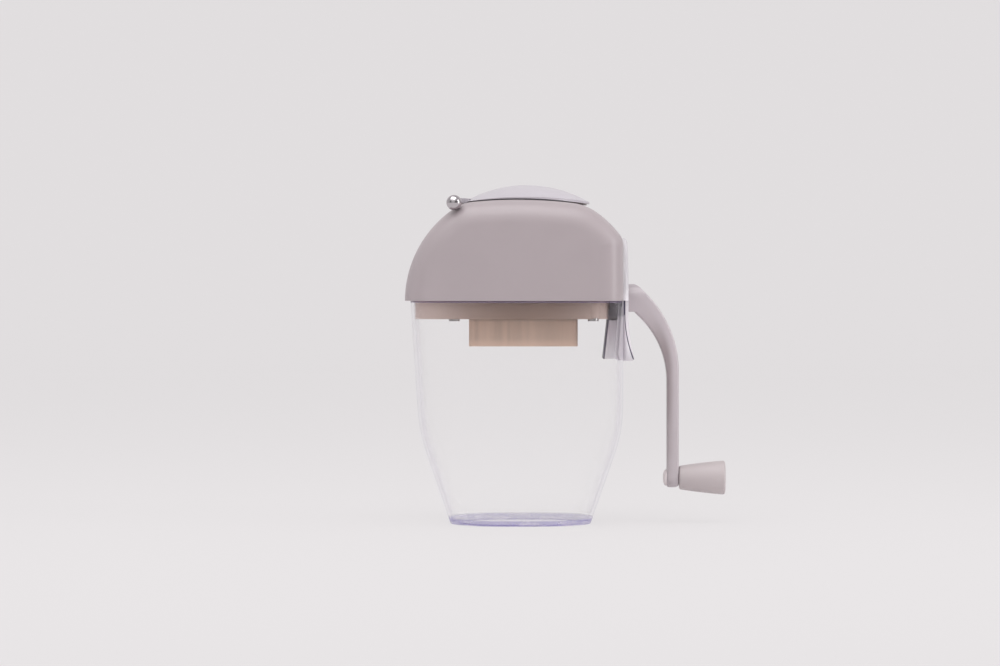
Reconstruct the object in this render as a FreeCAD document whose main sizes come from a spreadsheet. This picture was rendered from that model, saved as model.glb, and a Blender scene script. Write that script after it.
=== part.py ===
import FreeCAD, Part
import math
import os
import Sketcher

# Hand crank ice crusher.  Millimetres, +Z up, +X towards the crank.
# The origin is the centre of the container's flat base, on the table.

SIZES = {
    # container: a clear cup, wider at the rim, with a flat front panel under the head's lip
    "rim_plane": 165.0,
    "seat_gap": 0.3,
    "cup_wall": 2.2,
    "cup_floor": 4.5,
    "cup_foot_width": 6.0,
    "cup_groove_width": 3.0,
    "cup_groove_depth": 0.8,
    "cup_base_length": 52.0,
    "cup_base_width": 42.0,
    "cup_base_corner": 40.5,
    "cup_bend_height": 69.0,
    "cup_bend_reach": 18.0,
    "cup_bend_length": 74.6,
    "cup_bend_width": 57.8,
    "cup_bend_corner": 30.2,
    "cup_rim_length": 80.2,
    "cup_rim_front": 75.4,
    "cup_rim_width": 62.0,
    "cup_rim_corner": 19.0,
    "cup_station_count": 12,
    # housing: the side outline is three arcs and a flat front, drawn across the whole width
    "dome_overhang_rear": 3.9,
    "dome_overhang_side": 2.0,
    "dome_rise": 73.6,
    "dome_rear_radius": 81.4,
    "dome_edge_radius": 17.0,
    "dome_wall": 2.5,
    "crown_radius": 330.0,
    "crown_offset": 1.9,
    "crown_rear": 41.6,
    "crown_front": 46.0,
    "crown_rear_blend": 30.0,
    "crown_front_blend": 38.0,
    "shoulder_radius": 74.6,
    "shoulder_drop": 29.0,
    "front_setback": 0.4,
    "front_blend": 12.0,
    # feed mouth and lid
    "mouth_offset": 4.5,
    "mouth_radius": 43.2,
    "lid_overlap": 3.3,
    "lid_rise": 11.4,
    "lid_long_radius": 92.0,
    "lid_cross_radius": 120.0,
    "lid_wall": 2.6,
    "lid_gap": 0.4,
    "lid_land": 1.2,
    "lid_shadow": 0.6,
    "lid_grip_length": 15.0,
    "lid_grip_height": 0.9,
    "lid_spigot_gap": 1.1,
    "lid_spigot_wall": 2.0,
    "lid_spigot_depth": 8.0,
    # lid hinge
    "hinge_rear": 48.1,
    "hinge_drop": 2.3,
    "hinge_rod_radius": 2.25,
    "hinge_ball_radius": 5.6,
    "hinge_ball_inset": 6.4,
    "hinge_ball_socket": 3.2,
    "lug_radius": 5.0,
    "lug_inner": 21.0,
    "lug_length": 8.0,
    "barrel_radius": 4.2,
    "running_gap": 0.05,
    "play": 0.4,
    # shaft and crank axis
    "axis_rise": 1.6,
    "front_journal_radius": 6.0,
    "rear_journal_radius": 3.9,
    "square_side": 8.0,
    "drive_length": 8.0,
    # front cover
    "cover_thickness": 4.0,
    "cover_radius": 44.4,
    "cover_edge_radius": 3.2,
    "lip_straight": 9.5,
    "lip_top_width": 41.0,
    "lip_foot_width": 33.0,
    "lip_corner": 12.0,
    "lip_drop": 43.6,
    "lip_flare": 4.7,
    "lip_gap": 0.35,
    "lip_tip": 1.0,
    # locating tongue behind the cup's front wall
    "tongue_drop": 14.5,
    "tongue_length": 28.5,
    "tongue_width": 25.0,
    "tongue_gap": 0.5,
    "tongue_top_thickness": 8.7,
    "tongue_foot_thickness": 11.9,
    "tongue_corner": 3.0,
    "tongue_screw_inset": 4.3,
    "tongue_screw_y": 12.0,
    "tongue_screw_sink": 4.0,
    # bearing blocks
    "block_thickness": 8.2,
    "block_drop": 14.3,
    "block_width": 16.0,
    "ear_length": 14.7,
    "ear_width": 21.0,
    "ear_thickness": 3.5,
    "ear_screw_inset": 4.5,
    "ear_screw_y": 16.5,
    "crown_round": 12.0,
    "back_block_front": 38.1,
    "back_block_length": 10.0,
    "back_block_width": 10.0,
    "back_block_drop": 8.0,
    "back_ear_width": 18.0,
    "back_ear_screw_y": 14.0,
    "back_round": 9.0,
    # base plate with the outlet chute
    "plate_thickness": 3.0,
    "plate_gap": 0.3,
    "plug_depth": 13.3,
    "plug_gap": 1.3,
    "plug_corner_ease": 1.0,
    "plug_wall": 2.5,
    "chute_rear": 37.8,
    "chute_front": 42.0,
    "chute_half_width": 30.0,
    "chute_depth": 33.7,
    "chute_wall": 2.5,
    "chute_corner": 4.0,
    "flute_count": 11,
    "flute_pitch": 7.0,
    "flute_width": 1.6,
    "flute_height": 0.5,
    "rib_thickness": 1.8,
    "rib_depth": 8.0,
    "rib_spacing": 14.0,
    "post_radius": 3.6,
    "post_depth": 7.0,
    "shaft_slot_radius": 6.5,
    # hopper between the lid and the rotor
    "hopper_wall": 2.2,
    "hopper_lift": 0.2,
    "hopper_straight": 26.0,
    "hopper_collar_drop": 13.6,
    "hopper_top_drop": 4.2,
    "hopper_flange": 4.0,
    "hopper_gap": 0.5,
    # rotor
    "blade_count": 5,
    "blade_pitch": 14.0,
    "blade_thickness": 3.0,
    "blade_radius": 25.0,
    "blade_root": 11.0,
    "spacer_radius": 8.5,
    "end_spacer": 5.5,
    "stack_gap": 0.05,
    "ring_width": 1.2,
    "ring_depth": 1.0,
    "ring_radius": 6.6,
    "ring_mouth": 4.0,
    # combs
    "comb_thickness": 2.0,
    "comb_edge": 40.0,
    "comb_root": 26.9,
    "comb_tip": 10.4,
    "comb_side_gap": 1.2,
    "comb_tooth_tip": 4.0,
    "comb_screw_y": 36.7,
    "comb_screw_spacing": 52.0,
    # crank
    "hub_radius": 10.25,
    "hub_gap": 0.3,
    "hub_length": 4.7,
    "hub_blend": 15.0,
    "hub_blend_reach": 7.1,
    "arm_reach": 37.7,
    "arm_thickness": 8.8,
    "arm_outer_bend": 81.5,
    "arm_inner_bend": 65.8,
    "arm_outer_bend_drop": 54.6,
    "arm_inner_bend_drop": 61.6,
    "arm_root_reach": 2.4,
    "arm_end_radius": 7.2,
    "arm_end_corner": 3.2,
    "arm_edge_radius": 1.6,
    "crank_throw": 133.1,
    "crank_screw_radius": 2.4,
    "crank_screw_head": 4.2,
    "crank_screw_height": 3.0,
    "crank_screw_web": 1.2,
    "crank_screw_length": 14.0,
    # knob and its pin
    "knob_gap": 0.3,
    "knob_length": 34.1,
    "knob_neck_radius": 8.9,
    "knob_end_radius": 12.5,
    "knob_bow_radius": 380.0,
    "knob_corner": 1.6,
    "knob_end_dish": 0.8,
    "knob_pin_radius": 3.0,
    "knob_pin_depth": 24.0,
    "knob_pin_head": 6.0,
    "knob_pin_boss": 2.6,
    "knob_snap_place": 17.0,
    "knob_snap_length": 2.0,
    "knob_snap_height": 0.6,
    # small screws
    "screw_radius": 1.8,
    "screw_head_radius": 3.9,
    "screw_head_height": 2.2,
    "screw_rear": 48.0,
    "screw_front": 53.0,
    "screw_inset": 11.0,
    "screw_length": 26.0,
    "screw_boss_radius": 5.2,
    "screw_socket": 0.7,
    "socket_depth": 1.2,
    "small_screw_radius": 1.4,
    "small_head_radius": 2.8,
    "small_head_height": 1.6,
    "small_screw_length": 10.0,
    "thread_gap": 0.02,
}

doc = FreeCAD.newDocument("ice_crusher")


# ---------------------------------------------------------------- sizes and expressions

class Size:
    """A length with its present value and the expression that keeps it bound to the sheet."""

    def __init__(self, value, text):
        self.value = value
        self.text = text

    @staticmethod
    def of(thing):
        """The thing itself if it is a Size, or a Size that holds a plain number."""
        if isinstance(thing, Size):
            return thing
        return Size(float(thing), "(%.6f)" % thing)

    def __add__(self, other):
        other = Size.of(other)
        return Size(self.value + other.value, "(%s + %s)" % (self.text, other.text))

    def __sub__(self, other):
        other = Size.of(other)
        return Size(self.value - other.value, "(%s - %s)" % (self.text, other.text))

    def __mul__(self, other):
        other = Size.of(other)
        return Size(self.value * other.value, "(%s * %s)" % (self.text, other.text))

    def __truediv__(self, other):
        other = Size.of(other)
        return Size(self.value / other.value, "(%s / %s)" % (self.text, other.text))

    def __neg__(self):
        return self * -1.0

    def __radd__(self, other):
        return Size.of(other) + self

    def __rsub__(self, other):
        return Size.of(other) - self

    def __rmul__(self, other):
        return Size.of(other) * self


def root(size):
    """Square root of a Size."""
    return Size(math.sqrt(size.value), "sqrt(%s)" % size.text)


class Sheet:
    """The spreadsheet of driving dimensions; each alias reads back as a Size."""

    def __init__(self, sizes):
        self._cells = doc.addObject("Spreadsheet::Sheet", "dimensions")
        for row, (alias, value) in enumerate(sizes.items(), start=1):
            self._cells.set("A%d" % row, alias)
            self._cells.set("B%d" % row, str(value))
            self._cells.setAlias("B%d" % row, alias)
        doc.recompute()

    def __getattr__(self, alias):
        return Size(float(self._cells.get(alias)), "dimensions.%s" % alias)


D = Sheet(SIZES)


# Places that several pieces share.  Each is worked out from the sheet, so it moves with it.
CROWN = D.rim_plane + D.dome_rise
LID_TOP = CROWN + D.lid_rise
HINGE = CROWN - D.hinge_drop
SHOULDER = CROWN - D.shoulder_drop
AXIS = D.rim_plane + D.axis_rise
DOME_REAR = D.cup_rim_length + D.dome_overhang_rear
DOME_SIDE = D.cup_rim_width + D.dome_overhang_side
FRONT = D.cup_rim_front - D.front_setback
BALL_PLACE = DOME_SIDE - D.hinge_ball_inset
COVER_FACE = FRONT + D.cover_thickness
LIP_TOP = D.rim_plane - D.lip_straight
LIP_FOOT = D.rim_plane - D.lip_drop
LIP_REACH = COVER_FACE + D.lip_flare
CUP_INSIDE = D.cup_rim_front - D.cup_wall - D.tongue_gap
TONGUE_TOP = D.rim_plane - D.tongue_drop
TONGUE_FOOT = TONGUE_TOP - D.tongue_length
BLOCK_REAR = CUP_INSIDE - D.block_thickness
BLOCK_FOOT = D.rim_plane - D.block_drop
HEAD_INSIDE = FRONT - D.dome_wall - D.plate_gap
EAR_REAR = HEAD_INSIDE - D.ear_length
BACK_BLOCK_FOOT = D.rim_plane - D.back_block_drop
PLATE_TOP = D.rim_plane + D.plate_thickness
PLUG_FOOT = D.rim_plane - D.plug_depth
PLUG_REAR = D.cup_rim_length - D.cup_wall - D.plug_gap
PLUG_SIDE = D.cup_rim_width - D.cup_wall - D.plug_gap
PLUG_FRONT = BLOCK_REAR - D.plate_gap
PLUG_CORNER = D.cup_rim_corner - D.plug_corner_ease
CHUTE_FOOT = D.rim_plane - D.chute_depth
RIB_FOOT = D.rim_plane - D.rib_depth
POST_FOOT = D.rim_plane - D.post_depth
HOPPER_BEND = PLATE_TOP + D.hopper_straight
HOPPER_COLLAR = CROWN - D.hopper_collar_drop
HOPPER_TOP = CROWN - D.hopper_top_drop
ROTOR_CENTRE = (D.chute_front - D.chute_rear) / 2
LID_RADIUS = D.mouth_radius + D.lid_overlap
SPIGOT = D.mouth_radius - D.hopper_gap - D.hopper_wall - D.lid_spigot_gap
HUB_BACK = COVER_FACE + D.hub_gap
HUB_SHOULDER = HUB_BACK + D.hub_length
ARM_OUTER = HUB_BACK + D.arm_reach
ARM_INNER = ARM_OUTER - D.arm_thickness
KNOB_AXIS = AXIS - D.crank_throw
SCREW_SIDE = DOME_SIDE - D.screw_inset


def bind(thing, prop, size):
    """Bind one property of a document object to a size."""
    thing.setExpression(prop, Size.of(size).text)


# ---------------------------------------------------------------- sketch and feature helpers

def new_body(name):
    body = doc.addObject("PartDesign::Body", name)
    body.Label = name
    return body


def sketch_on(body, name, plane, offset=None):
    """A sketch on one of the body's own origin planes, moved along the plane's normal."""
    sketch = body.newObject("Sketcher::SketchObject", name)
    face = [item for item in body.Origin.OriginFeatures if item.Role == plane][0]
    sketch.AttachmentSupport = [(face, "")]
    sketch.MapMode = "FlatFace"
    if offset is not None:
        bind(sketch, "AttachmentOffset.Base.z", offset)
    return sketch


def pin_point(sketch, geometry, point, x, y):
    """Hold one point of a sketch at a distance from the sketch's origin, bound to the sheet."""
    for kind, size in (("DistanceX", x), ("DistanceY", y)):
        size = Size.of(size)
        index = sketch.addConstraint(Sketcher.Constraint(kind, -1, 1, geometry, point, size.value))
        sketch.setExpression("Constraints[%d]" % index, size.text)


def outline(sketch, corners):
    """A closed outline.  A corner is (x, y), or (x, y, radius) where the side after it is an arc:
    a positive radius turns left along the way, a negative one turns right."""
    spots = [(Size.of(c[0]), Size.of(c[1]), Size.of(c[2]) if len(c) > 2 else None) for c in corners]
    first = sketch.GeometryCount
    starts, ends = [], []
    for here, there in zip(spots, spots[1:] + spots[:1]):
        a = FreeCAD.Vector(here[0].value, here[1].value, 0)
        b = FreeCAD.Vector(there[0].value, there[1].value, 0)
        if here[2] is None:
            sketch.addGeometry(Part.LineSegment(a, b), False)
            starts.append(1)
            ends.append(2)
            continue
        radius = abs(here[2].value)
        left = here[2].value > 0
        chord = b - a
        normal = FreeCAD.Vector(-chord.y, chord.x, 0).normalize()
        reach = math.sqrt(max(radius ** 2 - (chord.Length / 2) ** 2, 0.0))
        centre = (a + b) / 2 + normal * (reach if left else -reach)
        tail, head = (a, b) if left else (b, a)
        angles = [math.atan2(p.y - centre.y, p.x - centre.x) for p in (tail, head)]
        circle = Part.Circle(centre, FreeCAD.Vector(0, 0, 1), radius)
        sketch.addGeometry(Part.ArcOfCircle(circle, *angles), False)
        starts.append(1 if left else 2)
        ends.append(2 if left else 1)
    count = len(spots)
    for i in range(count):
        j = (i + 1) % count
        sketch.addConstraint(Sketcher.Constraint("Coincident", first + i, ends[i], first + j, starts[j]))
    for i, spot in enumerate(spots):
        pin_point(sketch, first + i, starts[i], spot[0], spot[1])
        if spot[2] is not None:
            size = spot[2] if spot[2].value > 0 else -spot[2]
            index = sketch.addConstraint(Sketcher.Constraint("Radius", first + i, size.value))
            sketch.setExpression("Constraints[%d]" % index, size.text)


def circle(sketch, x, y, radius):
    """A full circle, its centre and radius bound to the sheet."""
    x, y, radius = Size.of(x), Size.of(y), Size.of(radius)
    centre = FreeCAD.Vector(x.value, y.value, 0)
    index = sketch.addGeometry(Part.Circle(centre, FreeCAD.Vector(0, 0, 1), radius.value), False)
    pin_point(sketch, index, 3, x, y)
    rule = sketch.addConstraint(Sketcher.Constraint("Radius", index, radius.value))
    sketch.setExpression("Constraints[%d]" % rule, radius.text)


def rectangle(sketch, low_x, high_x, low_y, high_y):
    outline(sketch, [(low_x, low_y), (high_x, low_y), (high_x, high_y), (low_x, high_y)])


def rounded_rectangle(sketch, rear, front, half_width, corner):
    """A rectangle from -rear to front and across both half widths, with four round corners."""
    rear, front = Size.of(rear), Size.of(front)
    half_width, corner = Size.of(half_width), Size.of(corner)
    outline(sketch, [
        (corner - rear, -half_width),
        (front - corner, -half_width, corner),
        (front, corner - half_width),
        (front, half_width - corner, corner),
        (front - corner, half_width),
        (corner - rear, half_width, corner),
        (-rear, half_width - corner),
        (-rear, corner - half_width, corner),
    ])


def finish_feature(body, feature, shrinks=None):
    """Recompute and see that the feature holds, and that it added or removed material."""
    before = body.Tip.Shape.Volume if body.Tip is not None and not body.Tip.Shape.isNull() else 0.0
    body.Tip = feature
    doc.recompute()
    after = feature.Shape.Volume
    if "Invalid" in feature.State or "Error" in feature.State or feature.Shape.isNull():
        raise RuntimeError("%s of %s failed" % (feature.Name, body.Label))
    if shrinks is True and not after < before - 1e-3:
        raise RuntimeError("%s of %s removed nothing" % (feature.Name, body.Label))
    if shrinks is False and not after > before + 1e-3:
        raise RuntimeError("%s of %s added nothing" % (feature.Name, body.Label))
    return feature


def extrude(body, sketch, length, side="One side", back=False, cut=False):
    """Pad or pocket a sketch by a bound length, to one side or evenly to both."""
    kind = "PartDesign::Pocket" if cut else "PartDesign::Pad"
    old_tip = body.Tip
    feature = body.newObject(kind, sketch.Name + ("_pocket" if cut else "_pad"))
    feature.Profile = sketch
    feature.SideType = side
    feature.Reversed = back
    feature.Refine = True
    bind(feature, "Length", length)
    body.Tip = old_tip
    return finish_feature(body, feature, cut)


def pad(body, sketch, length, back=False):
    return extrude(body, sketch, length, "One side", back)


def pad_both(body, sketch, length):
    return extrude(body, sketch, length, "Symmetric")


def pocket(body, sketch, length, back=False):
    return extrude(body, sketch, length, "One side", back, True)


def pocket_both(body, sketch, length):
    return extrude(body, sketch, length, "Symmetric", False, True)


def turn(body, sketch, axis="H_Axis", cut=False, angle=360.0, both=False):
    """Revolve a sketch about one of its own axes, adding or cutting."""
    kind = "PartDesign::Groove" if cut else "PartDesign::Revolution"
    old_tip = body.Tip
    feature = body.newObject(kind, sketch.Name + ("_groove" if cut else "_turn"))
    feature.Profile = sketch
    feature.ReferenceAxis = (sketch, [axis])
    feature.Angle = angle
    feature.Midplane = both
    body.Tip = old_tip
    return finish_feature(body, feature, cut)


def loft(body, sketches, cut=False, ruled=False):
    """Loft through the sketches in order, adding or cutting."""
    kind = "PartDesign::SubtractiveLoft" if cut else "PartDesign::AdditiveLoft"
    old_tip = body.Tip
    feature = body.newObject(kind, sketches[0].Name + "_loft")
    feature.Profile = sketches[0]
    feature.Sections = sketches[1:]
    feature.Ruled = ruled
    body.Tip = old_tip
    return finish_feature(body, feature, cut)


def edges_of(body, wanted):
    """Names of the tip's edges that the test picks."""
    shape = body.Tip.Shape
    return ["Edge%d" % (i + 1) for i, edge in enumerate(shape.Edges) if wanted(edge)]


def dress(body, kind, names, size):
    """Fillet or chamfer the named edges of the tip."""
    base = body.Tip
    feature = body.newObject("PartDesign::" + kind, base.Name + "_" + kind.lower())
    feature.Base = (base, names)
    bind(feature, "Radius" if kind == "Fillet" else "Size", size)
    body.Tip = base
    return finish_feature(body, feature)


def pattern(body, feature, direction, length, count):
    """Repeat a feature in a row along one of the body's origin axes."""
    row = body.newObject("PartDesign::LinearPattern", feature.Name + "_row")
    axis = [item for item in body.Origin.OriginFeatures if item.Role == direction][0]
    row.Originals = [feature]
    row.Direction = (axis, [""])
    bind(row, "Length", length)
    bind(row, "Occurrences", count)
    body.Tip = feature
    return finish_feature(body, row)


def spread(edge, direction):
    """Length of the edge's box along one direction, 0 for X, 1 for Y and 2 for Z."""
    box = edge.BoundBox
    return (box.XLength, box.YLength, box.ZLength)[direction]


# ---------------------------------------------------------------- container

def cup_shape_at(height):
    """Rear, front, half width and corner of the cup at a height: two straight walls and a round bend."""
    foot = (D.cup_base_length, D.cup_base_length, D.cup_base_width, D.cup_base_corner)
    bend = (D.cup_bend_length, D.cup_rim_front, D.cup_bend_width, D.cup_bend_corner)
    rim = (D.cup_rim_length, D.cup_rim_front, D.cup_rim_width, D.cup_rim_corner)
    above = height - D.cup_bend_height
    reach = D.cup_bend_reach
    shape = []
    for low, middle, high in zip(foot, bend, rim):
        lower = (middle - low) / D.cup_bend_height
        upper = (high - middle) / (D.rim_plane - D.cup_bend_height)
        if above.value <= -reach.value:
            shape.append(middle + lower * above)
        elif above.value >= reach.value:
            shape.append(middle + upper * above)
        else:
            eased = (above + reach) * (above + reach) / (reach * 4)
            shape.append(middle + lower * above + (upper - lower) * eased)
    return shape


def cup_sections(body, prefix, inset, floor):
    """Cross-sections of the cup from the floor to the rim, all moved inwards by the inset."""
    floor = Size.of(floor)
    climb = D.rim_plane - D.seat_gap - floor
    count = int(D.cup_station_count.value)
    sketches = []
    for i in range(count):
        height = floor + climb * (i / (count - 1))
        sketch = sketch_on(body, "%s_%d" % (prefix, i), "XY_Plane", height)
        rear, front, width, corner = cup_shape_at(height)
        rounded_rectangle(sketch, rear - inset, front - inset, width - inset, corner - inset)
        sketches.append(sketch)
    return sketches


def make_container():
    body = new_body("container")
    loft(body, cup_sections(body, "cup_outside", 0.0, 0.0))
    loft(body, cup_sections(body, "cup_inside", D.cup_wall, D.cup_floor), cut=True)
    groove = sketch_on(body, "foot_groove", "XY_Plane")
    for inset in (D.cup_foot_width, D.cup_foot_width + D.cup_groove_width):
        length = D.cup_base_length - inset
        rounded_rectangle(groove, length, length, D.cup_base_width - inset, D.cup_base_corner - inset)
    pocket(body, groove, D.cup_groove_depth, back=True)
    notch = sketch_on(body, "shaft_notch", "YZ_Plane", D.cup_rim_front + 1)
    reach = D.shaft_slot_radius
    outline(notch, [
        (-reach, AXIS, reach),
        (0, AXIS - reach, reach),
        (reach, AXIS),
        (reach, AXIS + reach),
        (-reach, AXIS + reach),
    ])
    pocket(body, notch, D.cup_wall + 2)
    return body


# ---------------------------------------------------------------- housing

def crown_height_at(x, raise_by=0.0):
    """Height of the dome's crown arc at a place along X."""
    away = Size.of(x) + D.crown_offset
    return CROWN + raise_by - D.crown_radius + root(D.crown_radius * D.crown_radius - away * away)


def dome_body(name, inset, drop=None):
    """The dome as a solid body, its faces moved inwards by the inset, its foot lowered by the drop."""
    body = new_body(name)
    wide = DOME_SIDE - inset
    front = FRONT - inset
    rear_crease = crown_height_at(-D.crown_rear, -inset)
    front_crease = crown_height_at(D.crown_front, -inset)
    foot = SHOULDER - inset / 2
    arcs = [
        (inset - DOME_REAR, D.rim_plane, inset - D.dome_rear_radius),
        (-D.crown_rear, rear_crease, inset - D.crown_radius),
        (D.crown_front, front_crease, inset - D.shoulder_radius),
        (front, foot),
    ]
    if drop is None:
        arcs.append((front, D.rim_plane))
    else:
        arcs.append((front, D.rim_plane - drop))
        arcs.append((inset - DOME_REAR, D.rim_plane - drop))
    side = sketch_on(body, name + "_side", "XZ_Plane")
    outline(side, arcs)
    pad_both(body, side, wide * 2)

    def crease(x, z):
        def test(edge):
            centre = edge.CenterOfMass
            across = spread(edge, 1) > 2 * wide.value - 1
            return across and abs(centre.x - x.value) < 0.1 and abs(centre.z - z.value) < 0.1
        return test

    dress(body, "Fillet", edges_of(body, crease(-D.crown_rear, rear_crease)), D.crown_rear_blend - inset)
    dress(body, "Fillet", edges_of(body, crease(D.crown_front, front_crease)), D.crown_front_blend - inset)
    dress(body, "Fillet", edges_of(body, crease(front, foot)), D.front_blend - inset)

    def rim_of_side(edge):
        at_side = abs(abs(edge.CenterOfMass.y) - wide.value) < 0.01
        return at_side and edge.BoundBox.ZMax > D.rim_plane.value + 1

    dress(body, "Fillet", edges_of(body, rim_of_side), D.dome_edge_radius - inset)
    return body


def base_screw_places():
    """The four base screws, as (x, y)."""
    return [(x, y) for x in (-D.screw_rear, D.screw_front) for y in (-SCREW_SIDE, SCREW_SIDE)]


def make_housing():
    cavity = dome_body("dome_cavity", D.dome_wall, D.dome_wall)
    bosses = sketch_on(cavity, "screw_bosses", "XY_Plane", PLATE_TOP + D.screw_length)
    reach = D.screw_boss_radius
    for x, y in base_screw_places():
        side = 1.0 if y.value > 0 else -1.0
        outline(bosses, [
            (x + reach * side, y, reach * -1.0),
            (x, y - reach * side, reach * -1.0),
            (x - reach * side, y),
            (x - reach * side, DOME_SIDE * side),
            (x + reach * side, DOME_SIDE * side),
        ])
    pocket(cavity, bosses, D.screw_length)
    body = dome_body("housing", Size.of(0.0))
    hollow = body.newObject("PartDesign::Boolean", "hollow")
    hollow.Type = "Cut"
    hollow.addObjects([cavity])
    finish_feature(body, hollow)
    holes = sketch_on(body, "boss_holes", "XY_Plane", PLATE_TOP + D.screw_length - D.dome_wall)
    for x, y in base_screw_places():
        circle(holes, x, y, D.screw_radius + D.thread_gap)
    pocket(body, holes, D.screw_length)
    mouth = sketch_on(body, "mouth", "XY_Plane", LID_TOP)
    circle(mouth, D.mouth_offset, 0, D.mouth_radius)
    pocket(body, mouth, LID_TOP - HOPPER_COLLAR)
    axis = sketch_on(body, "axis_hole", "YZ_Plane", FRONT + D.dome_wall)
    circle(axis, 0, AXIS, D.front_journal_radius + D.dome_wall)
    pocket(body, axis, D.dome_wall * 3)
    for side in (-1, 1):
        start = D.lug_inner if side > 0 else -D.lug_inner - D.lug_length
        lug = sketch_on(body, "lug_%s" % ("right" if side > 0 else "left"), "XZ_Plane", start)
        circle(lug, -D.hinge_rear, HINGE, D.lug_radius)
        pad(body, lug, D.lug_length)
    channel = sketch_on(body, "barrel_channel", "XZ_Plane")
    circle(channel, -D.hinge_rear, HINGE, D.barrel_radius + D.play)
    pocket_both(body, channel, D.lug_inner * 2)
    bore = sketch_on(body, "rod_bore", "XZ_Plane")
    circle(bore, -D.hinge_rear, HINGE, D.hinge_rod_radius + D.thread_gap)
    pocket_both(body, bore, (D.lug_inner + D.lug_length) * 2 + 1)
    return body


# ---------------------------------------------------------------- front cover, tongue and bearings

def make_front_cover():
    """Round-topped plate on the dome's flat front, with a lip that flares down over the cup's wall."""
    body = new_body("front_cover")
    top = AXIS + D.cover_radius
    half = root(D.cover_radius * D.cover_radius - D.axis_rise * D.axis_rise)
    plate = sketch_on(body, "cover_plate", "YZ_Plane", FRONT)
    outline(plate, [
        (half, D.rim_plane, D.cover_radius),
        (0, top, D.cover_radius),
        (-half, D.rim_plane),
    ])
    pad(body, plate, D.cover_thickness)

    def arch(edge):
        flat = spread(edge, 0) < 0.01 and abs(edge.CenterOfMass.x - COVER_FACE.value) < 0.01
        return flat and edge.BoundBox.ZMax > top.value - 1

    dress(body, "Fillet", edges_of(body, arch), D.cover_edge_radius)
    inner = D.cup_rim_front + D.lip_gap
    height = LIP_TOP - LIP_FOOT

    def bow(reach):
        """Radius of an arc that leaves the lip's straight part without a crease."""
        return (reach * reach + height * height) / (reach * 2)

    side = sketch_on(body, "lip_side", "XZ_Plane")
    outline(side, [
        (inner, D.rim_plane + D.lip_tip),
        (COVER_FACE, D.rim_plane + D.lip_tip),
        (COVER_FACE, LIP_TOP, bow(D.lip_flare)),
        (LIP_REACH, LIP_FOOT),
        (LIP_REACH - D.lip_tip, LIP_FOOT, -bow(LIP_REACH - D.lip_tip - inner)),
        (inner, LIP_TOP),
    ])
    pad_both(body, side, D.lip_top_width * 2)
    front = sketch_on(body, "lip_front", "YZ_Plane", LIP_REACH + 1)
    low = LIP_FOOT - 1
    outline(front, [
        (D.cover_radius, D.rim_plane),
        (D.lip_top_width, D.rim_plane),
        (D.lip_foot_width, LIP_FOOT + D.lip_corner, -D.lip_corner),
        (D.lip_foot_width - D.lip_corner, LIP_FOOT),
        (D.lip_corner - D.lip_foot_width, LIP_FOOT, -D.lip_corner),
        (-D.lip_foot_width, LIP_FOOT + D.lip_corner),
        (-D.lip_top_width, D.rim_plane),
        (-D.cover_radius, D.rim_plane),
        (-D.cover_radius, low),
        (D.cover_radius, low),
    ])
    pocket(body, front, LIP_REACH + 1 - FRONT)
    hole = sketch_on(body, "cover_hole", "YZ_Plane", COVER_FACE + 1)
    circle(hole, 0, AXIS, D.shaft_slot_radius)
    pocket(body, hole, D.cover_thickness + 2)
    return body


def tongue_screw_places():
    return [((CUP_INSIDE - D.tongue_screw_inset), y) for y in (-D.tongue_screw_y, D.tongue_screw_y)]


def make_locating_tongue():
    body = new_body("locating_tongue")
    side = sketch_on(body, "tongue_side", "XZ_Plane")
    outline(side, [
        ((CUP_INSIDE - D.tongue_foot_thickness), TONGUE_FOOT),
        (CUP_INSIDE, TONGUE_FOOT),
        (CUP_INSIDE, TONGUE_TOP),
        ((CUP_INSIDE - D.tongue_top_thickness), TONGUE_TOP),
    ])
    pad_both(body, side, D.tongue_width * 2)

    def upright(edge):
        return spread(edge, 2) > 20 and spread(edge, 1) < 0.01

    dress(body, "Fillet", edges_of(body, upright), D.tongue_corner)
    sinks = sketch_on(body, "tongue_sinks", "XY_Plane", TONGUE_FOOT + D.tongue_screw_sink)
    holes = sketch_on(body, "tongue_holes", "XY_Plane", TONGUE_TOP + 1)
    for x, y in tongue_screw_places():
        circle(sinks, x, y, D.small_head_radius + D.plate_gap)
        circle(holes, x, y, D.small_screw_radius + D.thread_gap)
    pocket(body, sinks, D.tongue_screw_sink + 1)
    pocket(body, holes, TONGUE_TOP - TONGUE_FOOT)
    return body


def crown_block(body, rear, front, radius):
    """Half-round cover over the shaft, standing on the plate."""
    top = PLATE_TOP
    sketch = sketch_on(body, "crown", "YZ_Plane", rear)
    rise = top - AXIS
    half = root(radius * radius - rise * rise)
    outline(sketch, [
        (half, top, radius),
        (0, AXIS + radius, radius),
        (-half, top),
    ])
    pad(body, sketch, front - rear)


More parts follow.
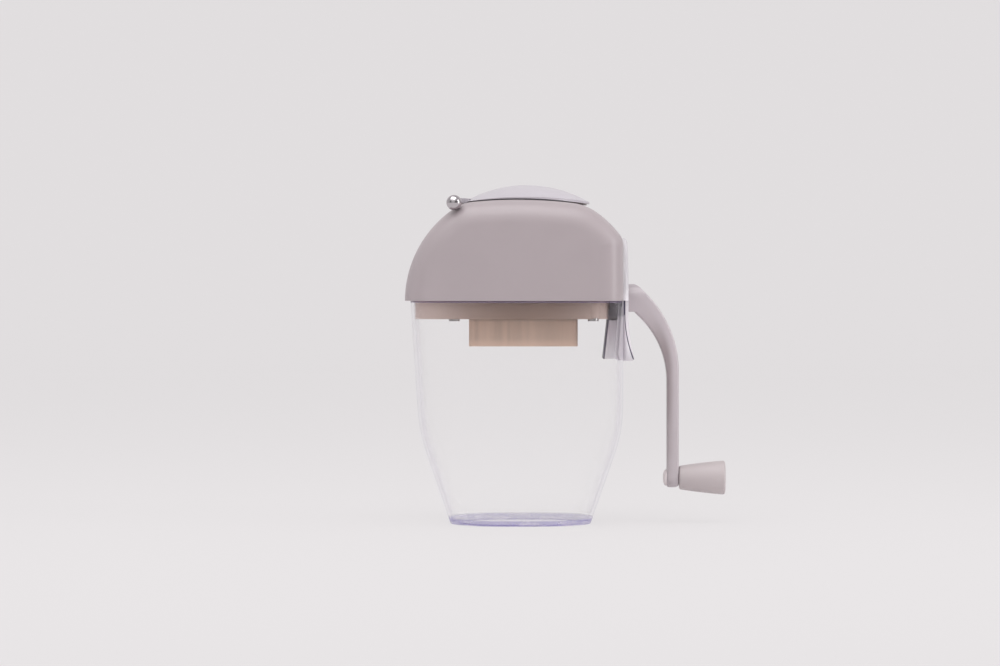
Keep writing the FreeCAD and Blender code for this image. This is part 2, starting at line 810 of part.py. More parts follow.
def make_front_bearing():
    """Dark block that carries the shaft: it hangs in front of the plug and stands on it by its ears."""
    body = new_body("front_bearing")
    top = PLATE_TOP
    ledge = D.rim_plane - D.plate_gap
    side = sketch_on(body, "block_side", "XZ_Plane")
    outline(side, [
        (BLOCK_REAR, BLOCK_FOOT),
        (CUP_INSIDE, BLOCK_FOOT),
        (CUP_INSIDE, ledge),
        (HEAD_INSIDE, ledge),
        (HEAD_INSIDE, top + D.ear_thickness),
        (BLOCK_REAR, top + D.ear_thickness),
    ])
    pad_both(body, side, D.block_width * 2)
    ears = sketch_on(body, "ears", "XY_Plane", top)
    rectangle(ears, EAR_REAR, HEAD_INSIDE, -D.ear_width, D.ear_width)
    pad(body, ears, D.ear_thickness)
    crown_block(body, EAR_REAR, HEAD_INSIDE, D.crown_round)
    bore = sketch_on(body, "bore", "YZ_Plane", FRONT + 1)
    circle(bore, 0, AXIS, D.front_journal_radius + D.running_gap)
    pocket(body, bore, FRONT + 2 - EAR_REAR)
    holes = sketch_on(body, "ear_holes", "XY_Plane", top + D.ear_thickness + 1)
    for x, y in front_ear_places():
        circle(holes, x, y, D.small_screw_radius + D.thread_gap)
    pocket(body, holes, D.ear_thickness + 2)
    sockets = sketch_on(body, "tongue_screw_holes", "XY_Plane", BLOCK_FOOT + D.small_screw_length)
    for x, y in tongue_screw_places():
        circle(sockets, x, y, D.small_screw_radius + D.thread_gap)
    pocket(body, sockets, D.small_screw_length + 1)
    return body


def front_ear_places():
    return [((EAR_REAR + D.ear_screw_inset), y) for y in (-D.ear_screw_y, D.ear_screw_y)]


def back_ear_places():
    x = -D.back_block_front - D.back_block_length / 2
    return [(x, y) for y in (-D.back_ear_screw_y, D.back_ear_screw_y)]


def make_rear_bearing():
    body = new_body("rear_bearing")
    top = PLATE_TOP
    rear = -D.back_block_front - D.back_block_length
    lower = sketch_on(body, "block", "XY_Plane", BACK_BLOCK_FOOT)
    rectangle(lower, rear, -D.back_block_front, -D.back_block_width, D.back_block_width)
    pad(body, lower, top + D.ear_thickness - BACK_BLOCK_FOOT)
    ears = sketch_on(body, "ears", "XY_Plane", top)
    rectangle(ears, rear, -D.back_block_front, -D.back_ear_width, D.back_ear_width)
    pad(body, ears, D.ear_thickness)
    crown_block(body, rear, -D.back_block_front, D.back_round)
    bore = sketch_on(body, "bore", "YZ_Plane", 1 - D.back_block_front)
    circle(bore, 0, AXIS, D.rear_journal_radius + D.running_gap)
    pocket(body, bore, D.back_block_length + 2)
    holes = sketch_on(body, "ear_holes", "XY_Plane", top + D.ear_thickness + 1)
    for x, y in back_ear_places():
        circle(holes, x, y, D.small_screw_radius + D.thread_gap)
    pocket(body, holes, D.ear_thickness + 2)
    return body


# ---------------------------------------------------------------- base plate

def chute_sketch(body, name, height, inset):
    sketch = sketch_on(body, name, "XY_Plane", height)
    rounded_rectangle(sketch, D.chute_rear - inset, D.chute_front - inset, D.chute_half_width - inset,
                      D.chute_corner - inset)
    return sketch


def comb_screw_places(side):
    first = ROTOR_CENTRE - D.comb_screw_spacing / 2
    return [(first, D.comb_screw_y * side), (first + D.comb_screw_spacing, D.comb_screw_y * side)]


def make_base_plate():
    """Plate under the dome: a flange on the cup's rim, a plug inside it and the outlet chute."""
    body = new_body("base_plate")
    top = PLATE_TOP
    edge = D.dome_wall + D.plate_gap
    flange = sketch_on(body, "flange", "XY_Plane", D.rim_plane)
    rounded_rectangle(flange, DOME_REAR - edge, FRONT - edge, DOME_SIDE - edge,
                      D.dome_edge_radius - edge)
    pad(body, flange, D.plate_thickness)
    plug = sketch_on(body, "plug", "XY_Plane", D.rim_plane)
    for inset in (Size.of(0.0), D.plug_wall):
        rounded_rectangle(plug, PLUG_REAR - inset, PLUG_FRONT - inset, PLUG_SIDE - inset,
                          PLUG_CORNER - inset)
    pad(body, plug, D.rim_plane - PLUG_FOOT, back=True)
    chute = chute_sketch(body, "chute", D.rim_plane, Size.of(0.0))
    pad(body, chute, D.rim_plane - CHUTE_FOOT, back=True)
    for side in (-1, 1):
        name = "right" if side < 0 else "left"
        face = D.chute_half_width * -side
        flute = sketch_on(body, "flute_" + name, "XZ_Plane", face)
        middle = (D.chute_front - D.chute_rear) / 2
        first = middle - D.flute_pitch * (D.flute_count - 1) / 2
        rectangle(flute, first - D.flute_width / 2, first + D.flute_width / 2,
                  CHUTE_FOOT + D.flute_width, PLUG_FOOT)
        strip = pad(body, flute, D.flute_height, back=side > 0)
        pattern(body, strip, "X_Axis", D.flute_pitch * (D.flute_count - 1), D.flute_count)
    ribs = sketch_on(body, "long_ribs", "XY_Plane", D.rim_plane)
    half = D.rib_thickness / 2
    for y in (-D.rib_spacing, D.rib_spacing):
        rectangle(ribs, D.plug_wall / 2 - PLUG_REAR, -D.chute_rear + D.chute_wall / 2, y - half, y + half)
        rectangle(ribs, D.chute_front - D.chute_wall / 2, PLUG_FRONT - D.plug_wall / 2, y - half, y + half)
    pad(body, ribs, D.rim_plane - RIB_FOOT, back=True)
    cross = sketch_on(body, "cross_ribs", "XY_Plane", D.rim_plane)
    for x in (ROTOR_CENTRE - D.rib_spacing, ROTOR_CENTRE + D.rib_spacing):
        rectangle(cross, x - half, x + half, D.chute_half_width - D.chute_wall / 2,
                  PLUG_SIDE - D.plug_wall / 2)
        rectangle(cross, x - half, x + half, D.plug_wall / 2 - PLUG_SIDE,
                  D.chute_wall / 2 - D.chute_half_width)
    pad(body, cross, D.rim_plane - RIB_FOOT, back=True)
    small = [place for side in (-1, 1) for place in comb_screw_places(side)]
    small += front_ear_places() + back_ear_places()
    posts = sketch_on(body, "small_posts", "XY_Plane", D.rim_plane)
    for x, y in small:
        circle(posts, x, y, D.post_radius)
    pad(body, posts, D.rim_plane - POST_FOOT, back=True)
    towers = sketch_on(body, "screw_posts", "XY_Plane", D.rim_plane)
    for x, y in base_screw_places():
        circle(towers, x, y, D.screw_boss_radius)
    pad(body, towers, D.rim_plane - PLUG_FOOT - D.screw_socket, back=True)
    opening = chute_sketch(body, "chute_opening", top + 1, D.chute_wall)
    pocket(body, opening, top + 2 - CHUTE_FOOT)
    slot = sketch_on(body, "shaft_slot", "YZ_Plane", PLUG_FRONT + 1)
    circle(slot, 0, AXIS, D.shaft_slot_radius)
    pocket(body, slot, PLUG_FRONT + D.back_block_front + D.back_block_length + 1)
    windows = sketch_on(body, "windows", "XY_Plane", top + 1)
    gap = D.plate_gap
    rear = -D.back_block_front - D.back_block_length - gap
    rectangle(windows, rear, gap - D.back_block_front, -D.back_block_width - gap, D.back_block_width + gap)
    rectangle(windows, BLOCK_REAR - gap, FRONT, -D.block_width - gap, D.block_width + gap)
    pocket(body, windows, top + 1 - BACK_BLOCK_FOOT + gap)
    holes = sketch_on(body, "small_holes", "XY_Plane", top + 1)
    for x, y in small:
        circle(holes, x, y, D.small_screw_radius + D.thread_gap)
    pocket(body, holes, top + 2 - POST_FOOT)
    seats = sketch_on(body, "screw_seats", "XY_Plane", PLUG_FOOT + D.screw_socket)
    for x, y in base_screw_places():
        circle(seats, x, y, D.screw_head_radius + D.plate_gap)
    pocket(body, seats, D.screw_socket + 1)
    large = sketch_on(body, "screw_holes", "XY_Plane", top + 1)
    for x, y in base_screw_places():
        circle(large, x, y, D.screw_radius + D.plate_gap)
    pocket(body, large, top + 2 - PLUG_FOOT)
    return body


# ---------------------------------------------------------------- hopper

def hopper_sections(body, name, inset, low, high):
    """Sections from the rotor's rectangle up to the round feed mouth."""
    rear, front = D.chute_rear - D.chute_wall, D.chute_front - D.chute_wall
    half = D.chute_half_width - D.chute_wall
    wall = D.hopper_wall - inset
    radius = D.mouth_radius - D.hopper_gap - inset
    square = (rear + wall, front + wall, half + wall, D.chute_corner - D.chute_wall + wall)
    sliver = 0.1
    round_top = (radius - D.mouth_offset, radius + D.mouth_offset, radius, radius - sliver)
    sketches = []
    for i, (height, shape) in enumerate(((low, square), (HOPPER_BEND, square),
                                         (HOPPER_COLLAR, round_top), (high, round_top))):
        sketch = sketch_on(body, "%s_%d" % (name, i), "XY_Plane", height)
        rounded_rectangle(sketch, *shape)
        sketches.append(sketch)
    return sketches


def make_hopper():
    body = new_body("hopper")
    foot = PLATE_TOP + D.comb_thickness + D.hopper_lift
    loft(body, hopper_sections(body, "funnel", Size.of(0.0), foot, HOPPER_TOP), ruled=True)
    flange = sketch_on(body, "hopper_flange", "XY_Plane", foot)
    rear = D.chute_rear - D.chute_wall + D.hopper_wall
    front = D.chute_front - D.chute_wall + D.hopper_wall
    half_width = D.chute_half_width - D.chute_wall + D.hopper_wall + D.hopper_flange
    rounded_rectangle(flange, rear, front, half_width, D.chute_wall)
    pad(body, flange, D.hopper_wall)
    loft(body, hopper_sections(body, "throat", D.hopper_wall, foot - 1, HOPPER_TOP + 1), cut=True, ruled=True)
    notch = sketch_on(body, "shaft_notch", "YZ_Plane", D.chute_front + 1)
    circle(notch, 0, AXIS, D.shaft_slot_radius)
    pocket(body, notch, D.chute_front + D.chute_rear + 2)
    return body


# ---------------------------------------------------------------- lid and its hinge

def make_lid():
    """Shallow cap, bowed more along X than across; its own frame is at its centre, on the cross axis."""
    body = new_body("lid")
    base = LID_TOP - D.lid_cross_radius
    bind(body, "Placement.Base.x", D.mouth_offset)
    bind(body, "Placement.Base.z", base)
    peak = D.lid_cross_radius

    def sag(x):
        x = Size.of(x)
        return D.lid_long_radius - root(D.lid_long_radius * D.lid_long_radius - x * x)

    def above_crown(x, gap):
        return crown_height_at(x + D.mouth_offset, gap) - base

    wide = LID_RADIUS + 3
    low = CROWN - LID_RADIUS / 2 - base
    deep = low - LID_RADIUS

    def cut_to_crown(name, gap):
        """Cut the underside to the crown's own curve, a gap above it."""
        under = sketch_on(body, name, "XZ_Plane")
        outline(under, [
            (-wide, deep),
            (wide, deep),
            (wide, above_crown(wide, gap), D.crown_radius),
            (-wide, above_crown(-wide, gap)),
        ])
        pocket_both(body, under, wide * 2)

    cap = sketch_on(body, "cap", "XZ_Plane")
    outline(cap, [
        (-wide, low),
        (wide, low),
        (wide, peak - sag(wide), D.lid_long_radius),
        (-wide, peak - sag(wide)),
    ])
    turn(body, cap, angle=80.0, both=True)
    trim = sketch_on(body, "rim", "XY_Plane", peak + 1)
    far = D.lid_cross_radius
    rectangle(trim, -far, far, -far, far)
    circle(trim, 0, 0, LID_RADIUS)
    pocket(body, trim, peak)
    shadow = D.lid_gap + D.lid_shadow
    cut_to_crown("rim_shadow", shadow)
    grip = sketch_on(body, "finger_grip", "XZ_Plane")
    start = LID_RADIUS - D.lid_grip_length
    outline(grip, [
        (start, above_crown(start, shadow)),
        (wide, above_crown(wide, shadow)),
        (wide, above_crown(wide, shadow + D.lid_grip_height)),
    ])
    pocket_both(body, grip, wide * 2)
    dish = sketch_on(body, "dish", "XZ_Plane")
    edge = LID_RADIUS - D.lid_wall
    outline(dish, [
        (0, deep),
        (edge, deep),
        (edge, peak - sag(edge) - D.lid_wall, D.lid_long_radius),
        (0, peak - D.lid_wall),
    ])
    turn(body, dish, axis="V_Axis", cut=True)
    land = sketch_on(body, "land", "XZ_Plane")
    lip = D.mouth_radius + D.lid_land
    outline(land, [
        (D.mouth_radius, low),
        (lip, low),
        (lip, peak - sag(lip) - D.lid_wall / 2),
        (D.mouth_radius, peak - sag(lip) - D.lid_wall / 2),
    ])
    turn(body, land, axis="V_Axis")
    cut_to_crown("seat", D.lid_gap)
    ring = sketch_on(body, "spigot", "XZ_Plane")
    outer, inner = SPIGOT, SPIGOT - D.lid_spigot_wall
    outline(ring, [
        (inner, HOPPER_TOP - D.lid_spigot_depth - base),
        (outer, HOPPER_TOP - D.lid_spigot_depth - base),
        (outer, peak - sag(outer) - D.lid_wall / 2),
        (inner, peak - sag(inner) - D.lid_wall / 2),
    ])
    turn(body, ring, axis="V_Axis")
    x, z = -D.hinge_rear - D.mouth_offset, HINGE - base
    barrel = sketch_on(body, "barrel", "XZ_Plane")
    circle(barrel, x, z, D.barrel_radius)
    pad_both(body, barrel, (D.lug_inner - D.play) * 2)
    strap = sketch_on(body, "strap", "XZ_Plane")
    tail = D.lid_wall - LID_RADIUS
    outline(strap, [
        (x, z + D.barrel_radius),
        (x + D.barrel_radius / 2, z + D.lid_gap),
        (tail, crown_height_at(tail + D.mouth_offset, D.lid_gap) - base),
        (tail + D.lid_wall, peak - sag(tail + D.lid_wall) - D.lid_gap),
    ])
    pad_both(body, strap, D.lug_inner * 1.5)
    bore = sketch_on(body, "bore", "XZ_Plane")
    circle(bore, x, z, D.hinge_rod_radius + D.running_gap)
    pocket_both(body, bore, D.lug_inner * 2 + 2)
    return body


UPRIGHT = FreeCAD.Rotation()
ALONG_X = FreeCAD.Rotation(FreeCAD.Vector(0, 1, 0), 90)
ALONG_Y = FreeCAD.Rotation(FreeCAD.Vector(1, 0, 0), -90)
HEAD_DOWN = FreeCAD.Rotation(FreeCAD.Vector(1, 0, 0), 180)


def place(thing, x, y, z, rotation=UPRIGHT):
    """Turn a part object and bind its place to the sheet."""
    thing.Placement = FreeCAD.Placement(FreeCAD.Vector(), rotation)
    for axis, size in zip("xyz", (x, y, z)):
        bind(thing, "Placement.Base." + axis, size)
    return thing


def rod(name, radius, length):
    thing = doc.addObject("Part::Cylinder", name)
    bind(thing, "Radius", radius)
    bind(thing, "Height", length)
    return thing


def cut(name, base, tool):
    thing = doc.addObject("Part::Cut", name)
    thing.Base = base
    thing.Tool = tool
    return thing


def make_hinge_rod():
    half = BALL_PLACE - D.hinge_ball_radius + D.hinge_ball_socket
    thing = rod("hinge_rod", D.hinge_rod_radius, half * 2)
    place(thing, -D.hinge_rear, -half, HINGE, ALONG_Y)
    return thing


def make_hinge_ball(side):
    """Ball end of the hinge rod, with a blind socket for the rod."""
    name = "hinge_ball_" + ("left" if side < 0 else "right")
    ball = doc.addObject("Part::Sphere", name + "_sphere")
    bind(ball, "Radius", D.hinge_ball_radius)
    place(ball, -D.hinge_rear, BALL_PLACE * side, HINGE)
    depth = D.hinge_ball_socket + D.thread_gap
    socket = rod(name + "_socket", D.hinge_rod_radius + D.thread_gap, depth + 1)
    inner = BALL_PLACE - D.hinge_ball_radius
    start = inner - 1 if side > 0 else -inner - depth
    place(socket, -D.hinge_rear, start, HINGE, ALONG_Y)
    return cut(name, ball, socket)


# ---------------------------------------------------------------- rotor

def blade_place(index):
    return ROTOR_CENTRE + D.blade_pitch * (index - (D.blade_count - 1) / 2)


def square_hole(sketch, side):
    half = side / 2
    rectangle(sketch, -half, half, -half, half)


def make_blade(index):
    """One crusher blade: three hooked claws on a square hole, turned a quarter turn from its neighbour."""
    body = new_body("rotor_blade_%d" % (index + 1))
    sketch = sketch_on(body, "blade_%d" % (index + 1), "YZ_Plane")
    corners = []
    claws = 3
    for claw in range(claws):
        middle = 360.0 / claws * claw

        def polar(radius, turn_by, bend=None):
            angle = math.radians(middle + turn_by)
            spot = (radius * math.cos(angle), radius * math.sin(angle))
            return spot + (bend,) if bend is not None else spot

        corners.append(polar(D.blade_root, -34.0, D.blade_radius * -1.2))
        corners.append(polar(D.blade_radius, 6.0, D.blade_radius))
        corners.append(polar(D.blade_radius, 20.0, D.blade_radius * -0.7))
        corners.append(polar(D.blade_root, 24.0, D.blade_root))
    outline(sketch, corners)
    square_hole(sketch, D.square_side + D.running_gap * 2)
    pad_both(body, sketch, D.blade_thickness)
    place(body, blade_place(Size.of(index)), 0, AXIS,
          FreeCAD.Rotation(FreeCAD.Vector(1, 0, 0), 90.0 * index))
    return body


def stack_rear():
    """Rear face of the first blade."""
    return blade_place(Size.of(0)) - D.blade_thickness / 2


def stack_front():
    """Front face of the last blade."""
    return blade_place(D.blade_count - 1) + D.blade_thickness / 2


def square_end():
    """Rear end of the shaft's square, where the retaining ring sits."""
    return stack_rear() - D.end_spacer - D.stack_gap * 2


def make_spacer(number, start, length):
    tube = rod("spacer_tube_%d" % number, D.spacer_radius, length)
    place(tube, start, 0, AXIS, ALONG_X)
    core = doc.addObject("Part::Box", "spacer_core_%d" % number)
    side = D.square_side + D.running_gap * 2
    bind(core, "Length", length + 2)
    bind(core, "Width", side)
    bind(core, "Height", side)
    place(core, start - 1, -side / 2, AXIS - side / 2)
    return cut("spacer_%d" % number, tube, core)


def group(name, things):
    """Separate solids that share one node."""
    thing = doc.addObject("Part::Compound", name)
    thing.Links = things
    return thing


def make_spacers():
    between = D.blade_pitch - D.blade_thickness - D.stack_gap * 2
    spacers = [make_spacer(0, stack_rear() - D.end_spacer - D.stack_gap, D.end_spacer)]
    for i in range(int(D.blade_count.value) - 1):
        start = blade_place(Size.of(i)) + D.blade_thickness / 2 + D.stack_gap
        spacers.append(make_spacer(i + 1, start, between))
    return group("rotor_spacers", spacers)


def make_drive_shaft():
    """Rear journal, square for the blades, front journal and the square that drives the crank."""
    body = new_body("drive_shaft")
    rear = D.plate_gap - D.back_block_front - D.back_block_length
    bind(body, "Placement.Base.z", AXIS)
    square = sketch_on(body, "square", "YZ_Plane", square_end())
    square_hole(square, D.square_side)
    pad(body, square, HUB_BACK + D.drive_length - D.thread_gap - square_end())
    journal = sketch_on(body, "front_journal", "YZ_Plane", stack_front() + D.stack_gap)
    circle(journal, 0, 0, D.front_journal_radius)
    pad(body, journal, HUB_BACK - D.thread_gap - stack_front() - D.stack_gap)
    tail = sketch_on(body, "rear_journal", "YZ_Plane", rear)
    circle(tail, 0, 0, D.rear_journal_radius)
    pad(body, tail, square_end() - rear)
    groove = sketch_on(body, "ring_groove", "XZ_Plane")
    depth = D.rear_journal_radius - D.ring_depth
    rectangle(groove, square_end() - D.ring_width - D.stack_gap, square_end(), depth,
              D.rear_journal_radius + D.ring_depth)
    turn(body, groove, cut=True)
    tapping = sketch_on(body, "tapping", "YZ_Plane", HUB_BACK + D.drive_length)
    circle(tapping, 0, 0, D.crank_screw_radius + D.thread_gap)
    pocket(body, tapping, D.crank_screw_length)
    return body


def make_retaining_ring():
    body = new_body("retaining_ring")
    start = square_end() - D.ring_width - D.stack_gap / 2
    bind(body, "Placement.Base.z", AXIS)
    ring = sketch_on(body, "ring", "YZ_Plane", start)
    circle(ring, 0, 0, D.ring_radius)
    circle(ring, 0, 0, D.rear_journal_radius - D.ring_depth + D.running_gap)
    pad(body, ring, D.ring_width)
    mouth = sketch_on(body, "mouth", "YZ_Plane", start + D.ring_width + 1)
    rectangle(mouth, 0, D.ring_radius + 1, -D.ring_mouth / 2, D.ring_mouth / 2)
    pocket(body, mouth, D.ring_width + 2)
    return body


def make_comb(side):
    """Fixed comb beside the rotor: its teeth reach in between the blades."""
    name = "comb_" + ("left" if side < 0 else "right")
    body = new_body(name)
    teeth = D.blade_count + 1
    width = D.blade_pitch - D.blade_thickness - D.comb_side_gap * 2
    first = blade_place(Size.of(0)) - D.blade_pitch / 2
    last = first + D.blade_pitch * (teeth - 1)
    strip = sketch_on(body, name + "_strip", "XY_Plane", PLATE_TOP)
    near, far = D.comb_root * side, D.comb_edge * side
    low, high = (near, far) if side > 0 else (far, near)
    rectangle(strip, first - width / 2, last + width / 2, low, high)
    pad(body, strip, D.comb_thickness)
    tooth = sketch_on(body, name + "_tooth", "XY_Plane", PLATE_TOP)
    tip = D.comb_tip * side
    outline(tooth, [
        (first - width / 2, near),
        (first - D.comb_tooth_tip / 2, tip),
        (first + D.comb_tooth_tip / 2, tip),
        (first + width / 2, near),
    ])
    one = pad(body, tooth, D.comb_thickness)
    pattern(body, one, "X_Axis", last - first, teeth)
    holes = sketch_on(body, name + "_holes", "XY_Plane", PLATE_TOP + D.comb_thickness + 1)
    for x, y in comb_screw_places(side):
        circle(holes, x, y, D.small_screw_radius + D.thread_gap)
    pocket(body, holes, D.comb_thickness + 2)
    return body


# ---------------------------------------------------------------- crank and knob

def make_crank_arm():
    """Hub and bent arm: a side outline, trimmed to a front outline that narrows to the knob."""
    body = new_body("crank_arm")
    outer_centre = ARM_OUTER - D.arm_outer_bend
    inner_centre = ARM_INNER - D.arm_inner_bend
    outer_bend_foot = AXIS - D.arm_outer_bend_drop
    inner_bend_foot = AXIS - D.arm_inner_bend_drop
    blend_end = HUB_SHOULDER + D.hub_blend_reach
    root_end = HUB_SHOULDER + D.arm_root_reach
    end = KNOB_AXIS - D.arm_end_radius

    def on_bend(x, centre, radius, height):
        away = x - centre
        return height + root(radius * radius - away * away)

    side = sketch_on(body, "arm_side", "XZ_Plane")
    outline(side, [
        (HUB_BACK, AXIS - D.hub_radius),
        (HUB_BACK, AXIS + D.hub_radius),
        (HUB_SHOULDER, AXIS + D.hub_radius, -D.hub_blend),
        (blend_end, on_bend(blend_end, outer_centre, D.arm_outer_bend, outer_bend_foot), -D.arm_outer_bend),
        (ARM_OUTER, outer_bend_foot),
        (ARM_OUTER, end),
        (ARM_INNER, end),
        (ARM_INNER, inner_bend_foot, D.arm_inner_bend),
        (root_end, on_bend(root_end, inner_centre, D.arm_inner_bend, inner_bend_foot)),
        (HUB_SHOULDER, AXIS - D.hub_radius),
    ])
    pad_both(body, side, D.hub_radius * 2)
    front = sketch_on(body, "arm_front", "YZ_Plane", ARM_OUTER + 1)
    beyond = D.hub_radius * 2
    rectangle(front, -beyond, beyond, end - beyond, AXIS + beyond)
    lean = (D.hub_radius - D.arm_end_radius) / D.crank_throw
    level = root(1 - lean * lean)
    outline(front, [
        (D.hub_radius * level, AXIS - D.hub_radius * lean, D.hub_radius),
        (0, AXIS + D.hub_radius, D.hub_radius),
        (-D.hub_radius * level, AXIS - D.hub_radius * lean),
        (-D.arm_end_radius * level, KNOB_AXIS - D.arm_end_radius * lean, D.arm_end_radius),
        (0, end, D.arm_end_radius),
        (D.arm_end_radius * level, KNOB_AXIS - D.arm_end_radius * lean),
    ])
    pocket(body, front, ARM_OUTER + 2 - HUB_BACK)

    def long_edge(edge):
        one_side = edge.BoundBox.YMin > 0.5 or edge.BoundBox.YMax < -0.5
        long = spread(edge, 2) > D.hub_radius.value * 1.2
        return one_side and long and edge.CenterOfMass.x > HUB_SHOULDER.value

    dress(body, "Fillet", edges_of(body, long_edge), D.arm_edge_radius)
    toe = sketch_on(body, "arm_toe", "XZ_Plane")
    outline(toe, [
        (ARM_OUTER - D.arm_end_corner, end, D.arm_end_corner),
        (ARM_OUTER, end + D.arm_end_corner),
        (ARM_OUTER + 1, end + D.arm_end_corner),
        (ARM_OUTER + 1, end - 1),
        (ARM_OUTER - D.arm_end_corner, end - 1),
    ])
    pocket_both(body, toe, D.hub_radius * 2)
    socket = sketch_on(body, "drive_socket", "YZ_Plane", HUB_BACK + D.drive_length)
    half = D.square_side / 2 + D.thread_gap
    rectangle(socket, -half, half, AXIS - half, AXIS + half)
    pocket(body, socket, D.drive_length + 1)
    seat = crank_screw_seat()
    hole = sketch_on(body, "screw_hole", "YZ_Plane", seat + 1)
    circle(hole, 0, AXIS, D.crank_screw_radius + D.plate_gap)
    pocket(body, hole, D.drive_length)
    sink = sketch_on(body, "screw_sink", "YZ_Plane", ARM_OUTER)
    circle(sink, 0, AXIS, D.crank_screw_head + D.plate_gap)
    pocket(body, sink, ARM_OUTER - seat)
    pin = sketch_on(body, "pin_hole", "YZ_Plane", ARM_OUTER + 1)
    circle(pin, 0, KNOB_AXIS, D.knob_pin_radius + D.thread_gap)
    pocket(body, pin, ARM_OUTER + 2 - ARM_INNER)
    return body


def crank_screw_seat():
    return HUB_BACK + D.drive_length + D.crank_screw_web


def make_knob():
    """Tapered hand knob, turned about its pin; its frame is on the pin's axis at its neck."""
    body = new_body("knob")
    bind(body, "Placement.Base.x", ARM_OUTER + D.knob_gap)
    bind(body, "Placement.Base.z", KNOB_AXIS)
    bore = D.knob_pin_radius + D.running_gap
    snap = bore + D.knob_snap_height
    depth = D.knob_pin_depth + D.play
    neck, corner = D.knob_neck_radius, D.knob_corner
    sketch = sketch_on(body, "knob_profile", "XZ_Plane")
    outline(sketch, [
        (0, bore),
        (0, neck - corner, -corner),
        (corner, neck, -D.knob_bow_radius),
        (D.knob_length - corner, D.knob_end_radius, -corner),
        (D.knob_length, D.knob_end_radius - corner),
        (D.knob_length - D.knob_end_dish, 0),
        (depth, 0),
        (depth, bore),
        (D.knob_snap_place + D.knob_snap_length + D.play, bore),
        (D.knob_snap_place + D.knob_snap_length + D.play, snap + D.play),
        (D.knob_snap_place - D.play, snap + D.play),
        (D.knob_snap_place - D.play, bore),
    ])
    turn(body, sketch)
    return body


def make_knob_pin():
    """Shoulder pin: domed head behind the arm, shank through it, snap ring inside the knob."""
    body = new_body("knob_pin")
    bind(body, "Placement.Base.x", ARM_OUTER + D.knob_gap)
    bind(body, "Placement.Base.z", KNOB_AXIS)
    face = ARM_INNER - ARM_OUTER - D.knob_gap - D.thread_gap
    back = face - D.knob_pin_boss
    radius, head = D.knob_pin_radius, D.knob_pin_head
    snap = radius + D.knob_snap_height
    sketch = sketch_on(body, "pin_profile", "XZ_Plane")
    outline(sketch, [
        (back, 0),
        (back, head / 2, -D.knob_pin_boss * 2),
        (face - D.knob_pin_boss / 3, head),
        (face, head),
        (face, radius),
        (D.knob_snap_place, radius),
        (D.knob_snap_place, snap),
        (D.knob_snap_place + D.knob_snap_length, radius),
        (D.knob_pin_depth - radius / 2, radius),
        (D.knob_pin_depth, radius / 2),
        (D.knob_pin_depth, 0),
    ])
    turn(body, sketch)
    return body


# ---------------------------------------------------------------- screws

def screw(name, spot, rotation, head, height, shank, length):
    """Round-headed screw with a hexagon socket; the head stands on the spot, the shank goes in."""
    outward = rotation.multVec(FreeCAD.Vector(0, 0, 1))

    def shifted(step):
        return [Size.of(value) + step * way for value, way in zip(spot, outward)]

    top = place(rod(name + "_head", head, height), *shifted(Size.of(0.0)), rotation)
    stem = place(rod(name + "_shank", shank, length), *shifted(-length), rotation)
    whole = doc.addObject("Part::Fuse", name + "_blank")
    whole.Base, whole.Tool = top, stem
    socket = doc.addObject("Part::Prism", name + "_socket")
    socket.Polygon = 6
    bind(socket, "Circumradius", shank)
    bind(socket, "Height", height)
    place(socket, *shifted(height - D.socket_depth), rotation)
    return cut(name, whole, socket)


def small_screws(name, spots, rotation=UPRIGHT, length=None):
    length = D.small_screw_length if length is None else length
    return group(name, [
        screw("%s_%d" % (name, i + 1), spot, rotation, D.small_head_radius, D.small_head_height,
              D.small_screw_radius, length) for i, spot in enumerate(spots)])


def make_base_screws():
    seat = PLUG_FOOT + D.screw_socket
    return group("base_screws", [
        screw("base_screw_%d" % (i + 1), (x, y, seat), HEAD_DOWN, D.screw_head_radius,
              D.screw_head_height, D.screw_radius, D.screw_length + D.plate_thickness)
        for i, (x, y) in enumerate(base_screw_places())])


def make_comb_screws():
    seat = PLATE_TOP + D.comb_thickness
    return small_screws("comb_screws", [(x, y, seat) for side in (-1, 1) for x, y in comb_screw_places(side)])


def make_bearing_screws():
    seat = PLATE_TOP + D.ear_thickness
    return small_screws("bearing_screws", [(x, y, seat) for x, y in front_ear_places() + back_ear_places()])


def make_tongue_screws():
    seat = TONGUE_FOOT + D.tongue_screw_sink
    length = BLOCK_FOOT - seat + D.small_screw_length - D.plate_gap
    return small_screws("tongue_screws", [(x, y, seat) for x, y in tongue_screw_places()], HEAD_DOWN, length)


def make_crank_screw():
    length = D.crank_screw_length - D.plate_gap + D.crank_screw_web
    return screw("crank_screw", (crank_screw_seat(), 0, AXIS), ALONG_X, D.crank_screw_head,
                 D.crank_screw_height, D.crank_screw_radius, length)


# ---------------------------------------------------------------- the assembly

def make_all():
    pieces = [
        make_container(), make_housing(), make_front_cover(), make_locating_tongue(),
        make_front_bearing(), make_rear_bearing(), make_base_plate(), make_hopper(),
        make_comb(-1), make_comb(1), make_lid(), make_hinge_rod(), make_hinge_ball(-1),
        make_hinge_ball(1), make_drive_shaft(), make_spacers(), make_retaining_ring(),
        make_crank_arm(), make_crank_screw(), make_knob(), make_knob_pin(),
        make_base_screws(), make_comb_screws(), make_bearing_screws(), make_tongue_screws(),
    ]
    pieces += [make_blade(i) for i in range(int(D.blade_count.value))]
    doc.recompute()
    return pieces


